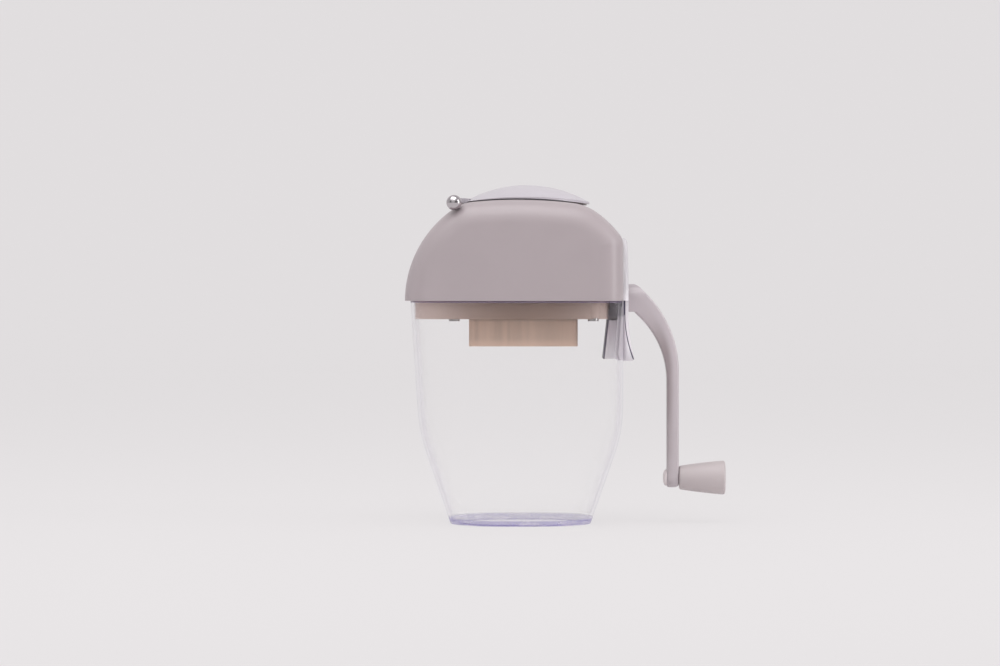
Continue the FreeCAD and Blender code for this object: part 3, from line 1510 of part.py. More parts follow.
def check_and_write(pieces):
    os.makedirs("parts", exist_ok=True)
    for thing in doc.Objects:
        if "Invalid" in thing.State or "Error" in thing.State:
            raise RuntimeError("%s failed to recompute" % thing.Label)
    for piece in pieces:
        shape = piece.Shape
        if shape.isNull() or not shape.isValid() or not shape.Solids:
            raise RuntimeError("%s is not a valid solid" % piece.Label)
    for piece in pieces:
        box = piece.Shape.BoundBox
        piece.Shape.exportStep("parts/%s.step" % piece.Label)
        print("%-18s %d solids %9.0f mm3  x %6.1f..%6.1f  y %6.1f..%6.1f  z %6.1f..%6.1f" % (
            piece.Label, len(piece.Shape.Solids), piece.Shape.Volume,
            box.XMin, box.XMax, box.YMin, box.YMax, box.ZMin, box.ZMax))


check_and_write(make_all())
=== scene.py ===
import math

import bmesh
import bpy
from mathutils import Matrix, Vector


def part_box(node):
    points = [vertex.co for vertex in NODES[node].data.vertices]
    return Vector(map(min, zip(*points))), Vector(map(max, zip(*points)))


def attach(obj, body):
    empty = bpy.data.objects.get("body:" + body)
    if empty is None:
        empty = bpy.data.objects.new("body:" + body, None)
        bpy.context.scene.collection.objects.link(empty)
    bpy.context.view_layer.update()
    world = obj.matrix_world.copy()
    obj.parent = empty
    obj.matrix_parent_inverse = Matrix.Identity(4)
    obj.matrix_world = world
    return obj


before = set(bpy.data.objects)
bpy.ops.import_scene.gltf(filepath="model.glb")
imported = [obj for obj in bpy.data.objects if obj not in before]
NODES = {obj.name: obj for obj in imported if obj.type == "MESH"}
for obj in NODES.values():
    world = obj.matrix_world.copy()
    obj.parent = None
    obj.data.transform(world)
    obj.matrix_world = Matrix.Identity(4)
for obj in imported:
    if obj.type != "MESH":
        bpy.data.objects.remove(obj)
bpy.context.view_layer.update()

bl_info = {
    "name": "Hand crank ice crusher",
    "version": (1, 0, 0),
    "blender": (4, 5, 0),
    "location": "3D View > Sidebar > Ice crusher",
    "description": "Finishes and small pieces of a hand crank ice crusher, with its stage",
    "category": "Object",
}

MM = 0.001

# The housing's lower edge, from which the front cover's lip hangs. The lip's inner face is upright
# down to the bend and then bows outwards.
RIM_PLANE = 165.0 * MM
LIP_BEND = 155.5 * MM
LIP_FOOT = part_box("front_cover")[0][2]
LIP_INSIDE = 75.75 * MM
LIP_BOW = 87.13 * MM

# The lid's round mouth, the groove round it under the lid's rim, and the hinge's knuckles behind
# it.
MOUTH_X = 4.5 * MM
GROOVE_INSIDE = 43.1 * MM
GROOVE_OUTSIDE = 46.0 * MM
KNUCKLE_X = -37.0 * MM

# The crank arm's outer edge, which bends round this axis and is upright below it.
BEND_X = 35.5 * MM
BEND_Z = 112.0 * MM
BEND_RADIUS = 81.5 * MM


# ---------------------------------------------------------------- shader graphs

def both_ways(operation):
    """A Python operator and its reflected form, each of which adds a Math node."""
    def forward(field, other):
        return field.math(operation, field, other)

    def reflected(field, other):
        return field.math(operation, other, field)

    return forward, reflected


class Field:
    """A number that changes over a surface; arithmetic on it adds Math nodes."""

    def __init__(self, graph, socket):
        self.graph = graph
        self.socket = socket

    def math(self, operation, first, second):
        """What a Math node makes of two fields or numbers."""
        node = self.graph.node("ShaderNodeMath", {"operation": operation}, {0: first, 1: second})
        return Field(self.graph, node.outputs[0])

    __add__, __radd__ = both_ways("ADD")
    __sub__, __rsub__ = both_ways("SUBTRACT")
    __mul__, __rmul__ = both_ways("MULTIPLY")
    __truediv__, __rtruediv__ = both_ways("DIVIDE")
    __pow__, __rpow__ = both_ways("POWER")

    def at_least(self, floor):
        """The number, or the floor where that is larger."""
        return self.math("MAXIMUM", self, floor)

    def size(self):
        """The number without its sign."""
        return self.math("ABSOLUTE", self, 0.0)

    def above(self, edge, soft):
        """0 below the edge and 1 above it, with a smooth step of the given width."""
        node = self.graph.node(
            "ShaderNodeMapRange",
            {"interpolation_type": "SMOOTHSTEP"},
            {"Value": self, "From Min": edge - soft / 2, "From Max": edge + soft / 2},
        )
        return Field(self.graph, node.outputs[0])


class Graph:
    """The node tree of a material or of the sky, with one method that adds any node."""

    def __init__(self, owner, coordinates="Object"):
        owner.use_nodes = True
        self.owner = owner
        self.tree = owner.node_tree
        self.shader = self.tree.nodes.get("Principled BSDF")
        spot = self.node("ShaderNodeTexCoord", {}, {})
        self.place = spot.outputs[coordinates]
        self.facing = spot.outputs["Normal"]

    def node(self, kind, settings, inputs):
        """Add a node: its settings first, then a value or a link for each socket."""
        node = self.tree.nodes.new(kind)
        for name, value in settings.items():
            setattr(node, name, value)
        for key, value in inputs.items():
            self.feed(node.inputs[key], value)
        return node

    def feed(self, socket, value):
        """Put a number, a colour, a field or a socket's link on a socket."""
        if isinstance(value, Field):
            value = value.socket
        if isinstance(value, bpy.types.NodeSocket):
            self.tree.links.new(value, socket)
        elif isinstance(value, tuple) and len(value) == 3 and socket.type == "RGBA":
            socket.default_value = (*value, 1.0)
        else:
            socket.default_value = value

    def component(self, vector, axis):
        """A vector's X, Y or Z."""
        return Field(self, self.node("ShaderNodeSeparateXYZ", {}, {0: vector}).outputs[axis])

    def along(self, axis):
        """The place along one axis, in metres; for the sky, how far a ray points along it."""
        return self.component(self.place, axis)

    def turned(self, axis):
        """How far the surface faces along one axis, from -1 to 1."""
        return self.component(self.facing, axis)

    def stretched(self, scale):
        """The place, scaled by a different amount along each axis."""
        inputs = {"Vector": self.place, "Scale": scale}
        return self.node("ShaderNodeMapping", {}, inputs).outputs[0]

    def noise(self, scale, detail=3.0, rough=0.55, place=None):
        """Smooth noise, about 0 to 1; the scale counts its features per metre."""
        inputs = {
            "Vector": place or self.place, "Scale": scale, "Detail": detail, "Roughness": rough
        }
        return Field(self, self.node("ShaderNodeTexNoise", {}, inputs).outputs["Fac"])

    def cells(self, scale):
        """Distance to the nearest of many scattered points."""
        inputs = {"Vector": self.place, "Scale": scale}
        return Field(self, self.node("ShaderNodeTexVoronoi", {}, inputs).outputs["Distance"])

    def mix(self, factor, first, second):
        """Blend two colours."""
        inputs = {"Factor": factor, 6: first, 7: second}
        return self.node("ShaderNodeMix", {"data_type": "RGBA"}, inputs).outputs[2]

    def bump(self, height, distance, strength):
        """Normals that follow a height, whose full travel is the distance, in metres."""
        inputs = {"Height": height, "Distance": distance, "Strength": strength}
        return self.node("ShaderNodeBump", {}, inputs).outputs[0]

    def set(self, **inputs):
        """Feed the shader's sockets; an underscore in a name stands for a space."""
        for name, value in inputs.items():
            self.feed(self.shader.inputs[name.replace("_", " ")], value)
        return self.owner


def linear(colour):
    """A screen colour, 0 to 255 in each channel, as the linear colour that shows it (sRGB)."""
    shares = [channel / 255 for channel in colour]
    return tuple(
        share / 12.92 if share <= 0.04045 else ((share + 0.055) / 1.055) ** 2.4 for share in shares
    )


def shade(colour, by):
    """A colour made darker or paler by a factor."""
    return tuple(min(c * by, 1.0) for c in colour)


def new_graph(name):
    return Graph(bpy.data.materials.new(name))


# ---------------------------------------------------------------- finishes

def satin_plastic(name, colour, gloss=0.38, grain=0.05, fleck=0.0, coat=0.0, patches=None):
    """Moulded plastic: spark-eroded grain, faint flow clouding, handling marks in the sheen.
    The grain's depth is in millimetres. The patches are a function of the graph that gives a list
    of masks, each with its colour."""
    g = new_graph(name)
    fine = g.noise(2600.0, 2.0)
    cloud = g.noise(22.0, 4.0)
    rubbed = g.noise(70.0, 5.0, 0.65)
    body = g.mix(cloud, shade(colour, 0.955), shade(colour, 1.045))
    if fleck:
        spark = g.cells(5200.0).above(0.16, 0.08)
        body = g.mix((1 - spark) * fleck, body, shade(colour, 1.6))
    for mask, patch in patches(g) if patches else ():
        body = g.mix(mask, body, patch)
    marks = rubbed.above(0.6, 0.25)
    return g.set(
        Base_Color=body,
        Roughness=gloss + fine * 0.05 + cloud * 0.05 - marks * 0.05,
        Metallic=0.0,
        Normal=g.bump(fine, grain * MM, 0.6),
        Coat_Weight=coat,
        Coat_Roughness=0.18,
    )


def streaked_plastic(name, colour, shaded, paler, rim_foot, chute_foot, gloss=0.42):
    """Unpainted moulding with flow streaks down its chute, and painted light that makes the chute's
    foot paler. Above the foot of its rim it has painted shade, darkest midway along and fading out
    towards both ends."""
    g = new_graph(name)
    fine = g.noise(2400.0, 2.0)
    cloud = g.noise(30.0, 4.0)
    streaks = g.noise(1.0, 4.0, 0.7, g.stretched((190.0, 190.0, 9.0)))
    broad = g.noise(1.0, 2.0, 0.5, g.stretched((60.0, 60.0, 4.0)))
    flow = g.mix(streaks.above(0.5, 0.5), shade(colour, 0.86), shade(colour, 1.12))
    body = g.mix(broad.above(0.5, 0.4) * 0.5, flow, shade(colour, 1.08))
    height = g.along("Z")
    # Painted light: the chute's foot is made paler.
    low = 1 - height.above(chute_foot + 4 * MM, 5 * MM)
    body = g.mix(low * 0.6, body, shade(colour, 1.28))
    # Painted shade on the rim: darkest midway along, fading out towards both ends.
    middle, half_length = 2 * MM, 72 * MM
    towards_end = ((g.along("X") - middle) / half_length).size()
    rim = g.mix(towards_end ** 2.5, shaded, paler)
    above_foot = height.above(rim_foot, 4 * MM) * (0.8 + cloud * 0.2)
    return g.set(
        Base_Color=g.mix(above_foot, body, rim),
        Roughness=gloss + fine * 0.06 + streaks * 0.05,
        Normal=g.bump(fine + streaks * 0.6, 0.05 * MM, 0.6),
    )


def brushed_steel(name, colour, axis, gloss=0.26):
    """Stainless steel with fine lines that run along one axis (0, 1 or 2)."""
    g = new_graph(name)
    across, lengthways = 900.0, 14.0
    scale = tuple(lengthways if each == axis else across for each in range(3))
    lines = g.noise(1.0, 3.0, 0.6, g.stretched(scale))
    stain = g.noise(60.0, 4.0)
    return g.set(
        Base_Color=g.mix(stain, shade(colour, 0.9), shade(colour, 1.05)),
        Metallic=1.0,
        Roughness=gloss + lines * 0.14 + stain * 0.05,
        Normal=g.bump(lines, 0.012 * MM, 0.5),
    )


def polished_chrome(name, colour):
    """Plated chrome with faint haze and wiping marks."""
    g = new_graph(name)
    haze = g.noise(220.0, 4.0)
    wipes = g.noise(1.0, 3.0, 0.6, g.stretched((90.0, 700.0, 90.0)))
    return g.set(
        Base_Color=g.mix(haze, shade(colour, 0.94), shade(colour, 1.03)),
        Metallic=1.0,
        Roughness=0.05 + haze * 0.05 + wipes * 0.03,
        Normal=g.bump(wipes, 0.003 * MM, 0.4),
    )


def clear_plastic(name, tint, edge_tint, base_tint, rim_tint_and_shade, base_height, rim_height, frost):
    """Clear moulding that shows where its wall is seen on edge, round its thick base and at its
    rim. The frost is a function of the graph that gives the frosted patch's mask and colour."""
    g = new_graph(name)
    height = g.along("Z")
    base = 1 - height.above(base_height, 2 * MM)
    ring = base * (1 - g.turned("Z").size().above(0.6, 0.4))
    rim = height.above(rim_height, 0.5 * MM)
    scuffs = g.noise(1.0, 4.0, 0.7, g.stretched((160.0, 160.0, 900.0))).above(0.66, 0.1)
    drift = g.noise(18.0, 3.0)
    fine = g.noise(2600.0, 2.0)
    edge = Field(g, g.node("ShaderNodeLayerWeight", {}, {"Blend": 0.5}).outputs["Facing"])
    glints = g.noise(1.0, 3.0, 0.65, g.stretched((70.0, 70.0, 420.0)))
    wall = g.mix(edge ** 2.5, g.mix(drift * 0.5, tint, shade(tint, 0.95)), edge_tint)
    foot = g.mix(glints.above(0.55, 0.2), base_tint, edge_tint)
    # The rim's tint is partly the rim seen on edge and partly painted shade from the housing's edge
    # above it.
    tinted = g.mix(rim, g.mix(base * 0.25 + ring * 0.75, wall, foot), rim_tint_and_shade)
    frosted, patch = frost(g)
    cover = edge ** 3.5 * 0.4 + 0.02 + scuffs * 0.02 + base * 0.04 + ring * 0.55 + rim * 0.6
    return g.set(
        Base_Color=g.mix(frosted, tinted, patch),
        Roughness=0.02 + scuffs * 0.08 + frosted * (0.4 + fine * 0.1),
        Alpha=cover + frosted * 0.9,
        Normal=g.bump(drift, 0.01 * MM, 0.25),
        Transmission_Weight=0.3,
        IOR=1.42,
        Specular_IOR_Level=0.6,
    )


# ---------------------------------------------------------------- settings

def colour_setting(name, text, screen):
    return bpy.props.FloatVectorProperty(
        name=name, description=text, subtype="COLOR", size=3, min=0.0, max=1.0,
        default=linear(screen),
    )


def length_setting(name, text, millimetres):
    return bpy.props.FloatProperty(
        name=name, description=text, subtype="DISTANCE", unit="LENGTH", default=millimetres * MM
    )


def power_setting(name, text, watts):
    return bpy.props.FloatProperty(
        name=name, description=text, subtype="POWER", unit="POWER", default=watts
    )


class CrusherFinishes(bpy.types.PropertyGroup):
    """Colours of the crusher's finishes, and of the light and shade painted on some of them."""

    silver: colour_setting("Silver-grey", "Satin plastic of the domed housing", (171, 160, 163))
    pearl: colour_setting("Pearl-grey", "Satin plastic of the lid", (191, 185, 192))
    pale: colour_setting("Pale grey", "Satin plastic of the front cover", (205, 201, 205))
    grey: colour_setting("Grey", "Plastic of the crank arm", (192, 183, 187))
    # Painted shade: the colour towards which the crank arm's inner side is darkened.
    inner: colour_setting("Inner grey", "The crank arm's darker inner side", (122, 105, 106))
    warm: colour_setting("Warm grey", "Plastic of the knob", (193, 183, 184))
    cap: colour_setting("Cap", "Plastic of the cap on the knob's pin", (226, 216, 217))
    # Painted shade: the dark colour of the band along the lip's inner face and of the tongue's rear
    # face.
    painted_dark: colour_setting("Painted dark", "Painted shade on the lip's inner face and the tongue's rear face", (74, 66, 92))
    # Painted shade: the dark colour given to the groove under the lid's rim and to the gap at its
    # front.
    seam_shade: colour_setting("Seam shade", "Painted shade in the seam under the lid", (92, 72, 70))
    cream: colour_setting("Cream", "Plastic of the chute and the hopper", (207, 180, 163))
    # Painted shade on the base plate's rim: this colour midway along, the paler one at the two
    # ends.
    shaded: colour_setting("Shaded cream", "The base plate's rim, midway along", (121, 98, 88))
    paler: colour_setting("Paler cream", "The base plate's rim at its two ends", (203, 184, 179))
    tongue: colour_setting("Tongue", "Plastic of the wedge behind the lip", (226, 218, 226))
    # Painted light: the paler colour of the tongue's foot.
    tongue_painted_light: colour_setting("Tongue's foot", "The wedge's paler foot", (233, 229, 234))
    block: colour_setting("Block", "Plastic of the bearing blocks", (194, 186, 198))
    steel: colour_setting("Steel", "Steel of the blades, the shaft and the screws", (190, 186, 186))
    chrome: colour_setting("Chrome", "Plating of the hinge rod and its balls", (196, 190, 193))
    clear: colour_setting("Clear", "Tint of the clear cup", (253, 252, 254))
    edge: colour_setting("Edge tint", "Tint of the cup's wall seen on edge", (196, 188, 220))
    base: colour_setting("Base tint", "Tint of the clear cup's thick base", (142, 132, 198))
    # Partly the rim seen on edge, partly painted shade under the housing's edge.
    rim: colour_setting("Rim tint", "Tint of the clear cup's rim, seen on edge", (138, 122, 152))


class CrusherStage(bpy.types.PropertyGroup):
    """The camera, the lamps and the floor."""

    eye_height: length_setting("Eye height", "Height of the camera above the floor", 195.0)
    eye_offset: length_setting("Eye offset", "Place of the camera along X", 10.0)
    distance: length_setting("Distance", "From the camera to the middle of the object", 2800.0)
    key_power: power_setting("Key", "Power of the large lamp overhead", 13.5)
    fill_power: power_setting("Fill", "Power of the wide lamp near the camera", 5.0)
    side_power: power_setting("Side", "Power of the tall lamp on the crank's side", 9.0)
    sky: bpy.props.FloatProperty(
        name="Sky", description="Strength of the even light from all round", default=0.6, min=0.0
    )
    glow: bpy.props.FloatProperty(
        name="Glow", description="Share of the paper that shows without shade", subtype="FACTOR",
        default=0.86, min=0.0, max=1.0
    )
    paper: colour_setting("Paper", "Floor and backdrop", (231, 228, 229))


# ---------------------------------------------------------------- shared modelling steps

def shown(name, data):
    """Put a mesh, a lamp or a camera in the scene as an object."""
    thing = bpy.data.objects.new(name, data)
    bpy.context.scene.collection.objects.link(thing)
    return thing


def smooth_object(name, shape, material):
    """Turn a bmesh into a smooth object of one material."""
    mesh = bpy.data.meshes.new(name)
    shape.to_mesh(mesh)
    shape.free()
    mesh.materials.append(material)
    for face in mesh.polygons:
        face.use_smooth = True
    return shown(name, mesh)


def dress(names, material):
    """Give CAD nodes a finish."""
    for name in names:
        for slot in NODES[name].material_slots:
            slot.material = material


# ---------------------------------------------------------------- operators

class CRUSHER_OT_stage(bpy.types.Operator):
    """Camera, lamps, sky and a pale sweep of paper"""

    bl_idname = "crusher.stage"
    bl_label = "Stage"

    def execute(self, context):
        stage = context.scene.crusher_stage
        self.camera(context, stage)
        self.paper(stage)
        self.lamps(stage)
        self.sky(context, stage)
        context.scene.view_settings.view_transform = "Standard"
        return {"FINISHED"}

    def camera(self, context, stage):
        """Level camera that looks along +Y; the shift frames the object."""
        width, height = 1000, 666
        per_metre = 1350.0
        # The object's middle, and where in the frame it falls, from the frame's top left corner.
        middle_x, middle_z = 0.03365, 0.125
        across, down = 566.0, 354.0
        eye_across = across + (stage.eye_offset - middle_x) * per_metre
        eye_down = down - (stage.eye_height - middle_z) * per_metre
        data = bpy.data.cameras.new("camera")
        data.sensor_width = 36.0
        data.lens = per_metre * stage.distance * data.sensor_width / width
        data.shift_x = (width / 2 - eye_across) / width
        data.shift_y = (eye_down - height / 2) / width
        data.clip_end = 50.0
        camera = shown("camera", data)
        camera.location = (stage.eye_offset, -stage.distance, stage.eye_height)
        camera.rotation_euler = (math.pi / 2, 0.0, 0.0)
        context.scene.camera = camera

    def paper(self, stage):
        """Floor that turns up into a wall behind the object, in one sheet."""
        front, bend, radius, half_width, top = -5.0, 3.6, 1.0, 7.0, 6.0
        sheet = bmesh.new()
        start = sheet.verts.new((-half_width, bend, 0.0))
        bmesh.ops.spin(
            sheet, geom=[start], cent=(0.0, bend, radius), axis=(1.0, 0.0, 0.0), angle=math.pi / 2,
            steps=24, use_merge=False,
        )
        by_height = sorted(sheet.verts, key=lambda vert: (vert.co.z, vert.co.y))
        ends = (by_height[0], front, 0.0), (by_height[-1], bend + radius, top)
        for vert, y, z in ends:
            made = bmesh.ops.extrude_vert_indiv(sheet, verts=[vert])
            made["verts"][0].co = (-half_width, y, z)
        made = bmesh.ops.extrude_edge_only(sheet, edges=sheet.edges[:])
        moved = [item for item in made["geom"] if isinstance(item, bmesh.types.BMVert)]
        bmesh.ops.translate(sheet, verts=moved, vec=(2 * half_width, 0.0, 0.0))
        bmesh.ops.recalc_face_normals(sheet, faces=sheet.faces[:])
        paper = smooth_object("paper", sheet, self.pale_paper(stage))

    def pale_paper(self, stage):
        """Matt paper, most of which glows for the camera and in what shines or is clear."""
        g = new_graph("pale_paper")
        colour = tuple(stage.paper)
        g.set(Base_Color=colour, Roughness=0.9, Specular_IOR_Level=0.1)
        glow = g.node("ShaderNodeEmission", {}, {"Color": colour, "Strength": 1.0})
        path = g.node("ShaderNodeLightPath", {}, {})
        camera, glossy, through = [
            Field(g, path.outputs["Is %s Ray" % kind])
            for kind in ("Camera", "Glossy", "Transmission")
        ]
        inputs = {
            0: (camera + glossy + through) * stage.glow, 1: g.shader.outputs[0], 2: glow.outputs[0]
        }
        blend = g.node("ShaderNodeMixShader", {}, inputs)
        g.feed(g.tree.nodes["Material Output"].inputs["Surface"], blend.outputs[0])
        return g.owner

    def lamp(self, name, spot, target, power, width, height):
        """Rectangular lamp at a spot, aimed at a target."""
        data = bpy.data.lights.new(name, "AREA")
        data.shape = "RECTANGLE"
        data.size, data.size_y, data.energy = width, height, power
        lamp = shown(name, data)
        lamp.location = spot
        aim = Vector(target) - Vector(spot)
        lamp.rotation_euler = aim.to_track_quat("-Z", "Y").to_euler()

    def lamps(self, stage):
        """Three wide lamps, all aimed at the middle of the object."""
        middle = (0.03, 0.0, 0.13)
        self.lamp("overhead", (-0.2, -0.45, 1.5), middle, stage.key_power, 1.6, 1.2)
        self.lamp("fill", (-0.5, -2.1, 0.9), middle, stage.fill_power, 2.2, 1.6)
        self.lamp("side", (1.6, -0.5, 0.6), middle, stage.side_power, 0.5, 1.4)

    def sky(self, context, stage):
        """Even light from all round; what shines sees a dark room behind the camera."""
        world = bpy.data.worlds.new("sky")
        context.scene.world = world
        g = Graph(world, "Generated")
        path = g.node("ShaderNodeLightPath", {}, {})
        behind = 1 - g.along("Y").above(-0.45, 0.5)
        low = 1 - g.along("Z").above(0.42, 0.3)
        dark = behind * low * Field(g, path.outputs["Is Glossy Ray"])
        darkness = 0.75
        background = g.tree.nodes["Background"]
        g.feed(background.inputs["Color"], (0.97, 0.96, 0.97))
        g.feed(background.inputs["Strength"], (1 - dark * darkness) * stage.sky)


class CRUSHER_OT_container(bpy.types.Operator):
    """Clear cup"""

    bl_idname = "crusher.container"
    bl_label = "Container"

    def execute(self, context):
        finish = context.scene.crusher_finishes
        rim_depth, base_top = 1.1 * MM, 4.5 * MM
        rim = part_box("container")[1][2] - rim_depth
        tints = tuple(finish.clear), tuple(finish.edge), tuple(finish.base), tuple(finish.rim)
        front, half_width, corner = 65 * MM, 50 * MM, 6 * MM
        shadow_foot = 153.5 * MM

        def frost(g):
            """The frosted patch of the front wall that the lip holds, with round lower corners.
            It is grey, as the tongue behind it is, and has painted shade at the height of the front
            bearing."""
            height, side = g.along("Z"), g.along("Y").size()
            below = (LIP_FOOT + corner - height).at_least(0.0)
            beside = (side - half_width + corner).at_least(0.0)
            inside = 1 - ((beside * beside + below * below) ** 0.5).above(corner, 0.4 * MM)
            grey, dark = shade(tuple(finish.tongue), 0.86), shade(tuple(finish.block), 0.3)
            # Painted shade: the patch darkens above the shadow's foot.
            patch = g.mix(height.above(shadow_foot, 2 * MM) * 0.7, grey, dark)
            return inside * g.along("X").above(front, 1 * MM) * 0.85, patch

        dress(["container"], clear_plastic("clear_cup", *tints, base_top, rim, frost))
        return {"FINISHED"}


class CRUSHER_OT_shell(bpy.types.Operator):
    """Housing, front cover and lid"""

    bl_idname = "crusher.shell"
    bl_label = "Head shell"

    def execute(self, context):
        finish = context.scene.crusher_finishes
        silver, pearl, pale = tuple(finish.silver), tuple(finish.pearl), tuple(finish.pale)
        painted_light_below, dark_band_depth = 168 * MM, 0.9 * MM

        def seam_shade(g):
            """Painted shade in the groove under the lid's rim, and in the gap at its front."""
            out, side = g.along("X") - MOUTH_X, g.along("Y")
            reach = (out * out + side * side) ** 0.5
            under = (1 - g.turned("Z").above(0.3, 0.2)) * g.along("X").above(KNUCKLE_X, 1 * MM)
            ring = reach.above(GROOVE_INSIDE, 0.2 * MM) * (1 - reach.above(GROOVE_OUTSIDE, 0.2 * MM))
            downward = 1 - g.turned("Z").above(-0.25, 0.1)
            gap = downward * reach.above(GROOVE_OUTSIDE, 0.4 * MM) * out.above(10 * MM, 10 * MM)
            painted_dark = tuple(finish.seam_shade)
            return [(ring * under, painted_dark), (gap, painted_dark)]

        def lip_painted_light_and_shade(g):
            """The lip has painted light that makes it paler than the cover, and painted shade as a
            dark band along its inner face.
            """
            height = g.along("Z")
            drop = (LIP_BEND - height).at_least(0.0)
            out = LIP_INSIDE + LIP_BOW - g.along("X")
            depth = LIP_BOW - (out * out + drop * drop) ** 0.5
            lip = 1 - height.above(RIM_PLANE, 0.4 * MM)
            # Painted light: the lip and the cover's lower part are made paler.
            lower = 1 - height.above(painted_light_below, 20 * MM)
            # Painted shade: a dark band along the lip's inner face.
            shade_band = (1 - depth.above(dark_band_depth, 0.2 * MM)) * lip
            return [(lower, shade(pale, 1.5)), (shade_band, tuple(finish.painted_dark))]

        dress(["housing"], satin_plastic("silver_plastic", silver, 0.36, 0.035, 0.35, 0.15))
        dress(["lid"], satin_plastic("lid_plastic", pearl, 0.3, 0.03, 0.25, 0.25, seam_shade))
        dress(["front_cover"], satin_plastic("cover_plastic", pale, 0.3, 0.03, 0.25, 0.25, lip_painted_light_and_shade))
        return {"FINISHED"}


class CRUSHER_OT_inside(bpy.types.Operator):
    """Base plate, chute, hopper, bearings and the tongue"""

    bl_idname = "crusher.inside"
    bl_label = "Inside plastic"

    def execute(self, context):
        finish = context.scene.crusher_finishes
        cream, grey = tuple(finish.cream), tuple(finish.block)
        rim = tuple(finish.shaded), tuple(finish.paler)
        screw_heads = 0.5 * MM
        rim_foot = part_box("base_screws")[0][2] + screw_heads
        chute_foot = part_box("base_plate")[0][2]
        dress(["base_plate"], streaked_plastic("cream_plastic", cream, *rim, rim_foot, chute_foot))
        dress(["hopper"], satin_plastic("hopper_plastic", cream, 0.42, 0.05))
        tongue = self.tongue_plastic(finish)
        dress(["locating_tongue"], tongue)
        self.lip_cheeks(tongue)
        gasket_height = 2.3 * MM
        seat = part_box("front_bearing")[0][2] + gasket_height

        def gasket(g):
            """The pale gasket between the front bearing and the tongue."""
            return [(1 - g.along("Z").above(seat, 0.3 * MM), shade(tuple(finish.tongue), 0.85))]

        dress(["front_bearing"], satin_plastic("bearing_plastic", grey, 0.34, 0.03, patches=gasket))
        dress(["rear_bearing"], satin_plastic("rear_bearing_plastic", grey, 0.34, 0.03))
        return {"FINISHED"}

    def tongue_plastic(self, finish):
        """Grey plastic with painted light that makes it paler towards the foot, and painted shade
        as a dark band on the tongue's rear face.
        """
        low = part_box("locating_tongue")[0]
        lean = 3.2 / 28.5
        rear_shade_depth, painted_light_below = 0.9 * MM, 134 * MM

        def patches(g):
            """Painted light at the foot, and painted shade on the rear face, which leans forwards
            as it rises.
            """
            height, out = g.along("Z"), g.along("X")
            rear = (height - low[2]) * lean + low[0]
            rear_face_shade = 1 - (out - rear).above(rear_shade_depth, 0.3 * MM)
            foot = 1 - height.above(painted_light_below, 20 * MM)
            return [(foot, tuple(finish.tongue_painted_light)), (rear_face_shade, tuple(finish.painted_dark))]

        return satin_plastic("tongue_plastic", tuple(finish.tongue), 0.4, 0.05, patches=patches)

    def lip_cheeks(self, material):
        """Side walls that close the lip's hollow, just inside its two edges."""
        top_y, top_z = 40.0 * MM, 154.5 * MM
        foot_y, foot_z, corner = 31.8 * MM, 133.4 * MM, 11.0 * MM
        wall, clear_of_lip = 2.0 * MM, 0.3 * MM
        sheet = bmesh.new()
        start = sheet.verts.new((LIP_INSIDE, foot_y, foot_z))
        bmesh.ops.spin(
            sheet, geom=[start], cent=(LIP_INSIDE, foot_y - corner, foot_z),
            axis=(1.0, 0.0, 0.0), angle=-math.pi / 2, steps=10, use_merge=False,
        )
        highest = max(sheet.verts, key=lambda vert: vert.co.z)
        made = bmesh.ops.extrude_vert_indiv(sheet, verts=[highest])
        made["verts"][0].co = (LIP_INSIDE, top_y, top_z)
        bmesh.ops.subdivide_edges(sheet, edges=made["edges"], cuts=11)
        made = bmesh.ops.extrude_edge_only(sheet, edges=sheet.edges[:])
        for item in made["geom"]:
            if isinstance(item, bmesh.types.BMVert):
                drop = max(LIP_BEND - item.co.z, 0.0)
                bow = LIP_BOW - math.sqrt(LIP_BOW ** 2 - drop ** 2)
                item.co.x = LIP_INSIDE + bow + clear_of_lip
        bmesh.ops.recalc_face_normals(sheet, faces=sheet.faces[:])
        bmesh.ops.solidify(sheet, geom=sheet.faces[:], thickness=wall)
        everything = sheet.verts[:] + sheet.edges[:] + sheet.faces[:]
        bmesh.ops.mirror(sheet, geom=everything, axis="Y", merge_dist=0.0)
        bmesh.ops.recalc_face_normals(sheet, faces=sheet.faces[:])
        piece = smooth_object("lip_cheeks", sheet, material)
        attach(piece, "head")


class CRUSHER_OT_crank(bpy.types.Operator):
    """Crank arm and knob"""

    bl_idname = "crusher.crank"
    bl_label = "Crank"

    def execute(self, context):
        finish = context.scene.crusher_finishes
        half_way = 5.2 * MM
        hub_foot, bend_foot, boss_top = 142 * MM, 78 * MM, 48 * MM

        def arm_painted_shade(g):
            """Painted shade: the arm is darker towards its inner edge, most of all between its hub
            and its bend's foot, and least at its lower boss."""
            height = g.along("Z")
            across, rise = g.along("X") - BEND_X, (height - BEND_Z).at_least(0.0)
            inwards = BEND_RADIUS - (across * across + rise * rise) ** 0.5
            under_hub = 1 - height.above(hub_foot, 36 * MM)
            by_bend = height.above(bend_foot, 40 * MM) * 0.3 + 0.25
            over_boss = height.above(boss_top, 10 * MM) * 0.6 + 0.4
            side = inwards.above(half_way, 5.5 * MM)
            return [(side * (under_hub * by_bend * over_boss + 0.1), tuple(finish.inner))]

        arm = satin_plastic("arm_plastic", tuple(finish.grey), 0.33, 0.03, 0.2, 0.2, arm_painted_shade)
        dress(["crank_arm"], arm)
        dress(["knob"], satin_plastic("knob_plastic", tuple(finish.warm), 0.4, 0.05))
        dress(["knob_pin"], satin_plastic("cap_plastic", tuple(finish.cap), 0.4, 0.05))
        return {"FINISHED"}


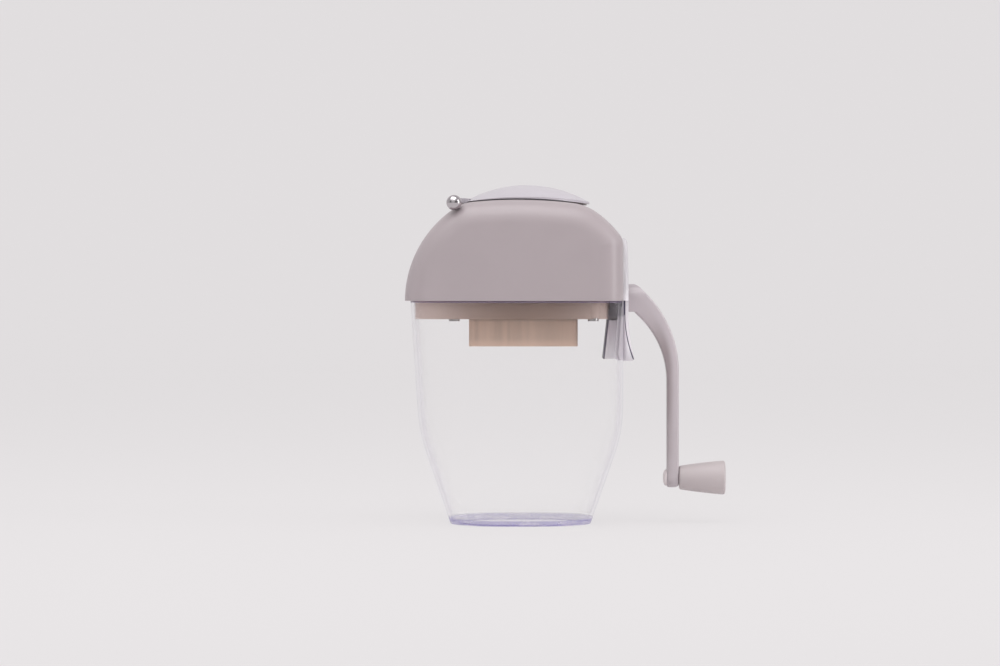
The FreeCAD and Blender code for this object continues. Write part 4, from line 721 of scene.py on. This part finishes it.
class CRUSHER_OT_metal(bpy.types.Operator):
    """Hinge rod, rotor, combs and fasteners"""

    bl_idname = "crusher.metal"
    bl_label = "Metal parts"

    def execute(self, context):
        finish = context.scene.crusher_finishes
        steel = tuple(finish.steel)
        hinge = ["hinge_rod", "hinge_ball_left", "hinge_ball_right"]
        blades = [name for name in NODES if name.startswith("rotor_blade")]
        shaft = ["drive_shaft", "rotor_spacers", "retaining_ring"]
        screws = ["base_screws", "comb_screws", "bearing_screws", "tongue_screws", "crank_screw"]
        dress(hinge, polished_chrome("chrome", tuple(finish.chrome)))
        dress(blades, brushed_steel("blade_steel", steel, 2))
        dress(["comb_left", "comb_right"], brushed_steel("comb_steel", steel, 1))
        dress(shaft, brushed_steel("shaft_steel", steel, 0, 0.2))
        dress(screws, brushed_steel("screw_steel", shade(steel, 0.85), 0, 0.24))
        return {"FINISHED"}


class CRUSHER_PT_panel(bpy.types.Panel):
    """Lists the pieces"""

    bl_idname = "CRUSHER_PT_panel"
    bl_label = "Ice crusher"
    bl_space_type = "VIEW_3D"
    bl_region_type = "UI"
    bl_category = "Ice crusher"

    def draw(self, context):
        for operator in OPERATORS:
            self.layout.operator(operator.bl_idname)
        for group in (context.scene.crusher_finishes, context.scene.crusher_stage):
            box = self.layout.box()
            for name in group.__annotations__:
                box.prop(group, name)


GROUPS = (CrusherFinishes, CrusherStage)
OPERATORS = (
    CRUSHER_OT_stage, CRUSHER_OT_container, CRUSHER_OT_shell, CRUSHER_OT_inside, CRUSHER_OT_crank,
    CRUSHER_OT_metal,
)


def register():
    for thing in GROUPS + OPERATORS + (CRUSHER_PT_panel,):
        bpy.utils.register_class(thing)
    bpy.types.Scene.crusher_finishes = bpy.props.PointerProperty(type=CrusherFinishes)
    bpy.types.Scene.crusher_stage = bpy.props.PointerProperty(type=CrusherStage)


def unregister():
    del bpy.types.Scene.crusher_stage
    del bpy.types.Scene.crusher_finishes
    for thing in reversed(GROUPS + OPERATORS + (CRUSHER_PT_panel,)):
        bpy.utils.unregister_class(thing)


def main():
    register()
    for operator in OPERATORS:
        group, name = operator.bl_idname.split(".")
        getattr(getattr(bpy.ops, group), name)()
    bpy.context.view_layer.update()


if __name__ == "__main__":
    main()
